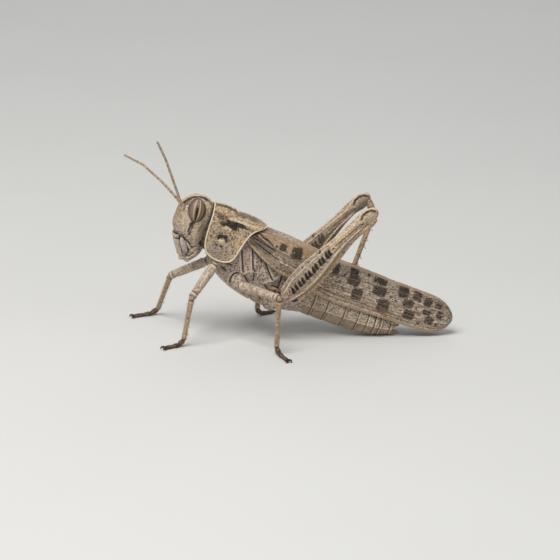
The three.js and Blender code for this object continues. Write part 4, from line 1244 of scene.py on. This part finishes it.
tegmen.mark("#2a1e17", 0.9, [(x, z, 0.34, 0.2, 0) for x, z in FLECKS], 0.5)
tegmen.lines("#5a4536", "#cdb393", 0.45)
WING_BLOTCHES = [
    (8.1, -1.05, 0.75, 0.68, 0), (6.75, -1.25, 0.25, 0.22, 0), (11.2, -1.25, 1.12, 1.15, 6),
    (19.6, -1.4, 1.1, 1.3, 6), (23.8, -0.8, 0.95, 0.68, 0), (24.2, -2.4, 1.35, 1.0, 0),
    (25.8, -4.8, 1.2, 1.25, 8), (26.9, -0.5, 0.34, 0.34, 0), (29.6, -0.8, 1.45, 0.72, 0),
    (30.0, -2.7, 1.5, 1.05, 0), (31.8, -5.3, 1.3, 1.4, 8), (34.9, -1.3, 1.12, 1.12, 6),
    (36.6, -3.1, 1.15, 0.85, 0), (37.5, -5.3, 1.2, 0.95, 0), (37.9, -1.2, 0.95, 0.85, 0),
    (40.4, -1.6, 0.85, 0.85, 0), (40.9, -3.6, 0.85, 0.5, 0), (42.0, -5.0, 0.95, 0.8, 0),
    (42.8, -1.7, 0.7, 0.55, 0), (43.7, -3.2, 0.7, 0.8, 0), (40.1, -6.2, 0.34, 0.3, 0),
    (43.9, -5.4, 0.45, 0.4, 0),
]
ragged = tegmen.patches(0.6, 0.27, 0.4, 2)
blotches = tegmen.add(
    "Math", {0: tegmen.spots(WING_BLOTCHES, 0.28, square=True), 1: ragged}, operation="MULTIPLY"
)
tegmen.stain(blotches, "#130d09", 0.95)
pale_veins = tegmen.add("Math", {0: long_veins, 1: blotches}, operation="MULTIPLY")
tegmen.stain(pale_veins, "#a48c76", 0.62)
tegmen.stain(cross_veins, "#a8927d", 0.3)
tegmen.coat("vein", "#957660", 0.7, 0.2)
tegmen.stain(tegmen.pits(0.5, 0.26, 0.55), "#3f3026", 0.85)
tegmen.raise_by(cross_veins, 0.1)
tegmen.raise_by(long_veins, 0.16)
for low_v, high_v, hex_colour, strength in (
    (0.93, 0.94, "#5f4a3a", 0.6), (0.965, 0.972, "#6b5442", 0.6), (0.985, 0.995, "#c3a584", 0.85),
):
    mask = tegmen.add("MapRange", {0: across.outputs["Y"], 1: low_v, 2: high_v})
    stop = tegmen.add("MapRange", {0: across.outputs["Y"], 1: high_v + 0.012, 2: high_v + 0.006})
    if high_v < 0.99:
        mask = tegmen.add("Math", {0: mask, 1: stop}, operation="MULTIPLY")
    tegmen.stain(mask, hex_colour, strength)
top_edge = tegmen.add("MapRange", {0: across.outputs["Y"], 1: 0.17, 2: 0.08})
along_wing = tegmen.add("MapRange", {0: across.outputs["X"], 1: 0.2, 2: 0.27})
tegmen.stain(top_edge, "#bd9878", 0.9, within=along_wing)
tip_edge = tegmen.add("MapRange", {0: across.outputs["X"], 1: 0.985, 2: 0.995})
tegmen.stain(tip_edge, "#a98a6a", 0.8)
wing_skin = tegmen.done()

# %% [markdown]
# Each wing is a sheet of 300 by 80 cells. The streaks are brushed onto it along paths in the side view,
# seven main veins are raised from it by their share of the way across, and a thin wall gives it its
# thickness.

# %% Fore wings
MAIN_VEINS = (0.17, 0.34, 0.5, 0.62, 0.78, 0.9, 0.955)
WING_MARKS = {
    "orange": [([(3.2, -0.1), (5.5, -0.3), (7.9, -0.5), (10.8, -0.45), (15, -0.8)], 0.85)],
    "violet": [
        ([(1.4, 0.5), (2.6, 0.55), (5.5, 0.75), (7.7, 1.0)], 0.35),
        ([(1.4, -1.66), (2.9, -1.8), (4.8, -2.1), (6.6, -2.4)], 0.3),
    ],
    "brown": [
        ([(7.8, -2.3), (9.8, -2.55), (11.8, -2.8)], 0.5), ([(8.6, -3.1), (12, -3.9), (17, -4.6)], 0.2),
        ([(4.6, -3.3), (8.0, -4.3), (12.5, -5.2)], 0.16),
    ],
    "black": [
        ([(0.6, -0.9), (1.5, -0.8), (2.7, 0.3)], 0.45), ([(3.0, -0.4), (4.3, -0.72), (5.8, -1.35)], 0.28),
        ([(2.3, -0.95), (3.8, -1.41), (5.6, -1.85), (6.5, -2.05)], 0.46),
        ([(1.2, -1.3), (2.6, -1.4)], 0.3),
        ([(1.4, -2.15), (3.4, -2.41), (4.7, -2.78), (5.8, -3.05)], 0.44),
        ([(6.6, -3.3), (8.0, -3.6)], 0.2),
    ],
    "vein": [
        ([(17.0, -7.25), (25.3, -7.05), (33.7, -6.85)], 0.13),
        ([(16.9, -6.3), (27.9, -6.1), (35.4, -7.2)], 0.13),
        ([(17.6, -5.3), (28.4, -4.95), (34.1, -6.45)], 0.13),
        ([(18.4, -4.3), (31.2, -5.7), (39.8, -6.9)], 0.11),
        ([(31.8, -4.75), (38.2, -3.25), (44.5, -1.5)], 0.13),
        ([(33.3, -5.75), (39.6, -5.3), (45.0, -3.9)], 0.13),
        ([(2.0, -1.0), (9.5, -2.35), (18.0, -2.7), (31.0, -1.75), (43.0, -0.9)], 0.12),
    ],
    "pale": [
        ([(2.75, -0.62), (4.5, -1.17), (6.0, -1.66)], 0.16),
        ([(1.0, -2.6), (4.8, -3.6), (9.5, -4.7)], 0.16),
    ],
}
for side_name, side in SIDES.items():
    wing = sheet("fore_wing_" + side_name, 300, 80, wing_surface(side))
    flank = side_view(in_mm(wing), (WING_ROOT[0], WING_ROOT[2]), WING_PITCH)
    for colour_name, marks in WING_MARKS.items():
        for path, width in marks:
            brush(wing, colour_name, near(flank, path, width))
    veins = np.zeros(len(wing.data.vertices))
    v_share = np.empty(len(wing.data.loops) * 2)
    wing.data.uv_layers[0].data.foreach_get("uv", v_share)
    corner = np.empty(len(wing.data.loops), int)
    wing.data.loops.foreach_get("vertex_index", corner)
    level_of = np.empty(len(wing.data.vertices))
    level_of[corner] = v_share[1::2]
    for vein in MAIN_VEINS:
        veins = np.maximum(veins, band(level_of, vein, 0.016))
    relief(wing, 0.14, veins)
    modify(wing, "SOLIDIFY", thickness=0.3 * MM, offset=-1)
    finish_piece(wing, wing_skin, "wing", "tegmen_" + side_name)

# %% [markdown]
# The hind thigh is a long club, deep near its root and slim towards the knee. Two fine ridges run along
# its outer face, and between them stands a herringbone of low ribs with a dark comma behind each rib.

# %% Hind thigh finish
THIGH_ROOT = (0.1, 0, 8.85)
THIGH_PITCH = math.radians(-46.5)
THIGH_Y = 5.6
THIGH_RISE = [
    (0, 0.5), (1.2, 1.9), (4.4, 2.7), (8.3, 2.75), (12, 2.35), (14.8, 1.95), (18, 1.75), (21.5, 1.8),
    (24.2, 1.6), (25.6, 0.95), (26.2, 0.3),
]
THIGH_DROP = [
    (0, 0.45), (1.9, 1.45), (4.4, 2.1), (7.5, 2.25), (11.1, 1.9), (14.7, 1.45), (18.5, 0.85), (21.5, 0.75),
    (22.6, 1.2), (23.8, 1.5), (25.4, 1.2), (26.2, 0.4),
]
THIGH_THICKNESS = [
    (0, 0.5), (1.5, 1.0), (5, 1.25), (9, 1.25), (14, 0.95), (19, 0.72), (22, 0.8), (24.5, 0.92),
    (26.2, 0.35),
]


def by_thigh(along, above):
    """A place in the side view, measured along the thigh and above its middle line."""
    across, lift = math.cos(-THIGH_PITCH), math.sin(-THIGH_PITCH)
    return (THIGH_ROOT[0] + along * across - above * lift, THIGH_ROOT[2] + along * lift + above * across)


thigh_paint = Finish("hind thigh chitin", "#ab947c", 0.5, THIGH_ROOT, THIGH_PITCH, wobble=0.15)
thigh_paint.dry_shell("#6b5543", "#d6bfa6", 0.4, 0.55, grain=0.36)
thigh_paint.mark("#96867b", 0.75, [(7.0, 2.35, 5.5, 0.5, -3), (4.0, 1.7, 3.0, 0.4, 0)], 0.7)
thigh_paint.mark("#a58c70", 0.85, streaks(
    [(2.6, -2.0), (6.4, -2.0), (8.8, -1.8), (11.3, -1.6), (15, -0.9)], 0.35
), 0.5)
thigh_paint.mark("#e0c6a4", 0.85, [(18.5, 1.15, 4.5, 0.5, -3)], 0.6)
thigh_paint.mark(
    "#6b4c35", 0.8,
    streaks(
        [(15.5, 0.85), (18.1, 0.6), (21.1, 0.35)], 0.17
    ) + streaks([(13.5, 0.1), (17.0, 0.05), (20.5, -0.1)], 0.1),
    0.5
)
COMMAS = [(2.3, 0.5, 0.17, 0.14, 0), (2.4, 0.8, 0.16, 0.1, 40)]
for i in range(1, 13):
    foot_along, foot_above = 2.0 + 0.955 * i + 0.1 * math.sin(3 * i), 0.05 + 0.028 * i
    COMMAS.append((foot_along, foot_above, 0.45, 0.38, 20))
    COMMAS.append((foot_along + 0.1, foot_above + 0.45, 0.7, 0.32, 74 - 2 * i))
COMMAS += [
    (14.1, 1.66, 0.38, 0.18, 0), (12.1, 1.95, 0.3, 0.24, 0), (9.2, 2.2, 0.3, 0.18, 10),
    (7.6, 2.3, 0.24, 0.14, 0), (12.4, 2.25, 0.26, 0.16, 0), (14.6, 0.75, 0.2, 0.14, 0),
    (13.0, 1.5, 0.24, 0.16, 0), (22.0, 0.1, 0.2, 0.2, 0),
]
thigh_paint.mark("#160f0a", 0.96, COMMAS, 0.35)
thigh_paint.mark("#c2ad88", 0.8, [(24.2, -0.5, 1.4, 0.95, -14)], 0.5)
# The inner face, turned to the body, is painted darker, and its lower half darker still: painted shade
# between thigh and body.
sides = thigh_paint.add("SeparateXYZ", {0: thigh_paint.place})
outward = thigh_paint.add("Math", {0: sides.outputs["Y"]}, operation="ABSOLUTE")
inner = thigh_paint.add("MapRange", {0: outward, 1: 5.5, 2: 5.0})
lower = thigh_paint.add("MapRange", {0: sides.outputs["Z"], 1: 0.5, 2: -0.3})
thigh_paint.stain(inner, "#7d6c5d", 0.35)
thigh_paint.stain(inner, "#5e5048", 0.6, within=lower)
thigh_paint.lines("#33261c", "#e0c9a8")
thigh_skin = thigh_paint.done()

# %% [markdown]
# The shape is a row of hoops whose rise, fall and thickness change along the thigh. Slanting ribs give
# the herringbone, a keel and two long ridges frame it, and an arch with a dark crescent below marks the
# knee.

# %% Hind thighs
KNEE_ARCH = [(20.5, 1.15), (22.3, 1.35), (23.3, 1.6), (24.7, 1.45), (25.6, 0.95), (26.0, 0.1)]
KNEE_CRESCENT = [(22.5, 0.85), (23.3, 1.25), (24.4, 1.2), (25.2, 0.75), (25.6, 0.1)]
STEPS = (
    0.1, 0.7, 1.4, 2.4, 3.6, 5.0, 6.6, 8.3, 10.0, 11.8, 13.6, 15.4, 17.2, 19.0, 20.4, 21.6, 22.6, 23.5,
    24.4, 25.2, 25.75, 26.1,
)
for side_name, side in SIDES.items():
    hoops = []
    for along in STEPS:
        rise, fall, thick = (float(np.interp(along, *np.array(level).T)) for level in (
            THIGH_RISE, THIGH_DROP, THIGH_THICKNESS,
        ))
        hoops.append((by_thigh(along, -fall), by_thigh(along, rise), thick))
    thigh = barrel("hind_thigh_" + side_name, hoops, side * THIGH_Y, sides=20)
    points = in_mm(thigh)
    flank = side_view(points, (THIGH_ROOT[0], THIGH_ROOT[2]), THIGH_PITCH)
    ends = np.clip(flank[:, 0] / 2, 0, 1) * np.clip((22.5 - flank[:, 0]) / 2, 0, 1)
    rows = np.abs(flank[:, 1] + 0.05) + 0.55 * flank[:, 0]
    ribs = np.clip(np.cos(2 * math.pi * rows / 0.5), 0, 1) * (np.abs(flank[:, 1] + 0.05) < 1.0)
    relief(thigh, 0.07, ribs * np.clip((15 - flank[:, 0]) / 2, 0, 1) * ends, 0.15)
    keel = band(points[:, 1], side * THIGH_Y, 0.2) * ends
    relief(thigh, 0.1, keel, 0.85)
    relief(thigh, 0.16, near(flank, [
        (0.8, 1.1), (4.1, 2.0), (8.5, 2.1), (12, 1.75), (18.5, 1.2), (21.5, 0.9),
    ], 0.14) * ends, 0.9)
    relief(thigh, 0.2, near(flank, [
        (0.8, -0.5), (2.0, -0.9), (4.3, -1.35), (8.5, -1.3), (10.2, -1.07), (14.4, -0.45), (17.5, -0.2),
        (21.5, -0.35),
    ], 0.2) * ends)
    relief(thigh, 0.15, near(flank, KNEE_ARCH, 0.15))
    relief(thigh, -0.2, near(flank, KNEE_CRESCENT, 0.2))
    relief(thigh, -0.08, near(flank, [(22.5, -0.3), (23.6, -0.2), (24.6, -0.4)], 0.14), 0.4)
    finish_piece(thigh, thigh_skin, "pale_shell", "femur_hind_" + side_name)

# %% [markdown]
# The hind shin carries two rows of stiff spines for climbing, each set in a dark socket. It ends in a
# pair of spurs. The left shin lies folded along the thigh, the right one stands on the floor.

# %% Shins of the hind legs
FOLDED_SHIN = [
    (24.6, -1.1), (22.4, -1.25), (20, -0.9), (17.5, -1.0), (14, -1.6), (11, -2.15), (8, -2.45), (5, -2.4),
    (2.2, -1.75),
]
folded = [by_thigh(*place) for place in FOLDED_SHIN]
knee_right = by_thigh(25.2, -0.6)
HIND_SHINS = {"left": [(x, -THIGH_Y, z) for x, z in folded], "right": [
    (knee_right[0], THIGH_Y, knee_right[1]), (19.1, 5.7, 24), (18.4, 5.85, 21), (15.9, 6.2, 13.2),
    (13.2, 6.7, 2.8),
]}
SHIN_SIZES = [(0, 0.62), (0.05, 0.8), (0.12, 0.6), (0.5, 0.5), (0.9, 0.52), (0.97, 0.6), (1, 0.45)]
SPINE_STANCE = {"left": (0.25, 0.6, 7), "right": (0.75, 0.5, 10)}

shin_paint = Finish("shin chitin", "#b3977a", 0.45)
shin_paint.dry_shell("#6f563f", "#cbae8e", 0.3, 0.3)
shin_paint.lines("#4a3425", "#d9bf9a")
shin_paint.mark("#6f5844", 0.7, [(19.3, 24.6, 1.0, 0.8, 0), (14.0, 3.6, 0.9, 1.3, 15)], 0.6)
shin_skin = shin_paint.done()
thorn_skin = plain_skin("spine chitin", "#d8c3a2", 0.4)
socket_skin = plain_skin("dark claw chitin", "#2e221b", 0.4)


def thorn(foot, tip, size):
    """A spine or bristle that stands in a short dark socket."""
    foot, tip = np.array(foot, float), np.array(tip, float)
    cone = limb(
        "thorn", [foot, foot * 0.45 + tip * 0.55, tip], (size, size * 0.62, size * 0.1), around=2, smooth=2
    )
    collar = limb(
        "collar", [foot, foot * 0.84 + tip * 0.16], (size * 1.45, size * 1.1), around=2, smooth=1
    )
    return [painted(cone, thorn_skin), painted(collar, socket_skin)]


for side_name, path in HIND_SHINS.items():
    line = stations(path, 33)
    sizes = taper(SHIN_SIZES, 33)
    parts = [painted(limb("shin", line, sizes, around=5), shin_skin)]
    out, lean, count = SPINE_STANCE[side_name]
    for i in range(count * 2):
        share = 0.28 + 0.66 * (i // 2) / (count - 1)
        index = int(share * 32)
        heading = unit(line[index + 1] - line[index - 1])
        rear = unit(np.cross(heading, (0, 1, 0)))
        outward = np.array((0, -1 if i % 2 == 0 else 1, 0))
        foot = line[index] + outward * 0.2 + rear * 0.25
        parts += thorn(
            foot, foot + rear * out + heading * lean + outward * 0.3,
            0.25 if side_name == "right" else 0.17
        )
    for outward in (-1, 1):
        foot = line[-2] + np.array((0, outward * 0.3, 0)) + rear * 0.2
        parts += thorn(foot, foot + rear * 0.5 + heading * 0.8 + np.array((0, outward * 0.2, 0)), 0.16)
    shin = join("hind_shin_" + side_name, parts)
    finish_piece(shin, shin_skin, "pale_shell", "tibia_hind_" + side_name)

# %% [markdown]
# A locust's foot is three joints with soft pads below, and a pair of claws with a sucker between them.
# The standing feet end flat on the floor, so nothing of them goes below it.

# %% Feet
PAD_SIZES = [
    (0, 0.42), (0.1, 0.56), (0.2, 0.54), (0.3, 0.38), (0.4, 0.5), (0.5, 0.47), (0.6, 0.34), (0.75, 0.4),
    (0.9, 0.44), (1, 0.36),
]
foot_skin = plain_skin("foot chitin", "#4f3d2f", 0.5, ("#2a1f18", "#86705a", 0.5, 0.3))


def foot_piece(name, path, heading, drop):
    """The pads along the path, then two claws and the sucker."""
    line = stations(path, 25)
    heading = unit(np.array(heading, float))
    aside = np.array((-heading[1], heading[0], 0))
    sizes = taper(PAD_SIZES, 25)
    pads = painted(limb("pads", line, sizes, around=4), foot_skin)
    parts = [pads]
    end = line[-1]
    for turn in (-1, 1):
        claw = [
            end, end + heading * 0.4 + aside * turn * 0.42 + np.array((0, 0, 0.16)),
            end + heading * 0.72 + aside * turn * 0.55 + np.array((0, 0, 0.02)),
            end + heading * 0.8 + aside * turn * 0.55 + np.array((0, 0, -drop)),
        ]
        parts.append(painted(limb("claw", claw, (0.26, 0.22, 0.15, 0.03), around=3), socket_skin))
    sucker = [end, end + heading * 0.3, end + heading * 0.5]
    parts.append(painted(limb("sucker", sucker, (0.2, 0.24, 0.1), around=3), foot_skin))
    piece = join(name, parts)
    rows = np.array([vertex.co.z for vertex in piece.data.vertices])
    if rows.min() < 0:
        for vertex in piece.data.vertices:
            vertex.co.z = max(vertex.co.z, 0.0)
    return piece


def standing_path(ankle, toe):
    """Ankle, heel, middle and end of a foot that stands on the floor."""
    ankle, toe = np.array(ankle, float), np.array(toe, float)
    heel, middle, end = ankle + (toe - ankle) * 0.3, ankle + (toe - ankle) * 0.62, toe.copy()
    heel[2], middle[2], end[2] = 0.45, 0.4, 0.36
    return [ankle, heel, middle, end]


ankle = HIND_SHINS["left"][-1]
folded_foot = [ankle, (2.2, -4.7, 8.9), (0.9, -4.15, 9.7), (-1.5, -4.55, 10.4), (-4.0, -5.5, 11.0)]
finish_piece(
    foot_piece("hind_foot_left", folded_foot, (-2.5, -0.95, 0.6), 0.3), foot_skin, "foot",
    "tarsus_hind_left"
)
ankle, toe = HIND_SHINS["right"][-1], (19.8, 7.5, 0.4)
finish_piece(
    foot_piece("hind_foot_right", standing_path(ankle, toe), (6.6, 0.8, 0), 0.25), foot_skin, "foot",
    "tarsus_hind_right"
)

# %% [markdown]
# The four walking legs share one build: a round hip with pale rims, a slim thigh, a shin with small
# spines and the foot. Fine bristles stand all along them. They are thousands of tiny cones, so they are
# written as one mesh from numbers, because a row of operators for each would take far too long.

# %% Bristles, hips and rings
WALKING_LEGS = {
    "fore_left": [(-13.3, -2.9, 15.9), (-18.3, -7.6, 10.2), (-19.7, -7.4, 1.2), (-23.4, -9.4, 0.4)],
    "fore_right": [(-13.7, 2.9, 14.9), (-21.3, 8.3, 9.9), (-23.3, 13.2, 1.2), (-28.2, 11.2, 0.4)],
    "mid_left": [(-8.9, -4.3, 11.8), (-1.6, -12.7, 11.6), (-1.7, -12.3, 1.2), (-0.1, -17.4, 0.4)],
    "mid_right": [(-8.9, 4.3, 11.8), (-2.4, 12.6, 11.4), (-3.0, 12.2, 1.2), (0.3, 13.9, 0.4)],
}
HIP_SIZES = {"fore": (1.25, 1.5, 1.6), "mid": (1.5, 1.6, 1.75), "hind": (1.9, 1.3, 1.6)}
THIGH_SIZES = [
    (0, 0.6), (0.06, 0.78), (0.2, 0.98), (0.6, 0.88), (0.86, 0.76), (0.94, 0.84), (0.98, 0.66), (1, 0.4),
]
SMALL_SHIN_SIZES = [(0, 0.5), (0.06, 0.62), (0.14, 0.55), (0.5, 0.46), (0.9, 0.5), (0.97, 0.54), (1, 0.4)]

leg_paint = Finish("leg chitin", "#c6b09a", 0.5)
leg_paint.dry_shell("#6f5a47", "#ddc8b2", 0.33, 0.28, grain=0.34)
leg_paint.stain(leg_paint.patches(1.6, 0.52, 0.66, 2), "#9d8571", 0.55)
leg_paint.lines("#4a3829", "#e2ceb3")
leg_skin = leg_paint.done()
hip_skin = plain_skin(
    "hip chitin", "#b7a28f", 0.55, ("#5c4b3e", "#cfbaa6", 0.5, 0.5), ("#3a2c22", "#dcc8b0")
)


def bristles(piece, count, length, material, seed):
    """Fine three-sided cones that stand on a piece's faces and lean with them."""
    chance = random.Random(seed)
    faces = piece.data.polygons
    corners, triangles = [], []
    for _ in range(count):
        face = faces[chance.randrange(len(faces))]
        normal = face.normal.copy()
        aside = normal.orthogonal().normalized()
        lean = (normal + aside * chance.uniform(-0.5, 0.5) + Vector((0, 0, -0.35))).normalized()
        root = face.center - normal * 0.03 * MM
        thick = 0.035 * MM
        first = len(corners)
        for turn in (0, 120, 240):
            ring = Matrix.Rotation(math.radians(turn), 3, normal) @ aside
            corners.append(root + ring * thick)
        corners.append(root + lean * length * MM * chance.uniform(0.6, 1.2))
        triangles += [
            (first, first + 1, first + 3), (first + 1, first + 2, first + 3),
            (first + 2, first, first + 3), (first, first + 2, first + 1),
        ]
    mesh = bpy.data.meshes.new("bristles")
    mesh.from_pydata(corners, [], triangles)
    hairs = bpy.data.objects.new("bristles", mesh)
    bpy.context.scene.collection.objects.link(hairs)
    return painted(hairs, material)


def hip(side, root, size):
    """A round hip that sits in its socket."""
    centre = (root[0] + 0.2, root[1] - side * 0.75, root[2] + 0.35)
    return ball("hip", centre, size, -0.3, side * 0.3, rings=24)


def rings(piece, start, end, places):
    """Raised or sunken rings around a straight limb, each at a distance in mm from its start."""
    run = unit(end - start)
    for distance, height, width, tone in places:
        relief(piece, height, band((in_mm(piece) - start) @ run, distance, width), tone)


print("walking legs:", list(WALKING_LEGS))

# %% [markdown]
# Each leg is built from four points: hip, knee, ankle and toe. The thigh reaches a little past the knee,
# so that it covers the start of the shin. The inner side of the shin carries two rows of five small
# spines.

# %% Walking legs
for number, (leg_name, (root, knee, ankle, toe)) in enumerate(WALKING_LEGS.items()):
    pair, side_name = leg_name.split("_")
    side = SIDES[side_name]
    coxa = hip(side, root, HIP_SIZES[pair])
    finish_piece(coxa, hip_skin, "shell", "coxa_" + leg_name)
    root, knee, ankle, toe = (np.array(place) for place in (root, knee, ankle, toe))
    beyond = knee + unit(knee - root) * 0.35
    line = stations([root, beyond], 21)
    sizes = taper(THIGH_SIZES, 21)
    thigh = painted(limb("thigh", line, sizes, around=5, smooth=6), leg_skin)
    length = np.linalg.norm(knee - root)
    rings(thigh, root, knee, [
        (0.35, 0.1, 0.16, 0.9), (0.75, -0.12, 0.14, 1), (1.2, 0.06, 0.2, 0.7),
        (length - 1.0, -0.1, 0.14, 0.9), (length - 0.65, 0.08, 0.16, 0.9), (length - 0.1, -0.06, 0.2, 0.7),
    ])
    thigh = join("thigh_" + leg_name, [thigh, bristles(thigh, 160, 0.45, thorn_skin, number)])
    finish_piece(thigh, leg_skin, "shell", "femur_" + leg_name)
    line = stations([knee, ankle], 25)
    sizes = taper(SMALL_SHIN_SIZES, 25)
    shin = painted(limb("shin", line, sizes, around=5, smooth=6), shin_skin)
    rings(shin, knee, ankle, [
        (0.5, -0.08, 0.2, 0.8), (0.95, 0.05, 0.16, 0.7),
        (np.linalg.norm(ankle - knee) - 0.3, -0.06, 0.3, 0.8),
    ])
    parts = [shin, bristles(shin, 260, 0.5, thorn_skin, number + 10)]
    heading = unit(ankle - knee)
    aside = unit(np.cross(heading, toe - ankle))
    inner = np.cross(aside, heading)
    inner *= np.sign(inner @ (toe - ankle))
    for i in range(10):
        place = line[int(8 + 15 * (i // 2) / 4)]
        outward = aside * (0.35 if i % 2 else -0.35)
        parts += thorn(
            place + outward * 0.6 - inner * 0.1, place + outward * 1.6 + inner * 0.35 + heading * 0.8, 0.1
        )
    shin = join("shin_" + leg_name, parts)
    finish_piece(shin, shin_skin, "shell", "tibia_" + leg_name)
    heading = toe - ankle
    heading[2] = 0
    finish_piece(
        foot_piece("foot_" + leg_name, standing_path(ankle, toe), heading, 0.25), foot_skin, "foot",
        "tarsus_" + leg_name
    )

for side_name, side in SIDES.items():
    knob = hip(side, (-2.2, side * 4.35, 7.65), HIP_SIZES["hind"])
    link = limb("link", [(-2.0, side * 4.1, 7.9), (-0.5, side * 5.4, 8.4)], (0.8, 0.7), around=4)
    knob = join("hind_hip_" + side_name, [painted(knob, hip_skin), painted(link, hip_skin)])
    finish_piece(knob, hip_skin, "shell", "coxa_hind_" + side_name)

# %% [markdown]
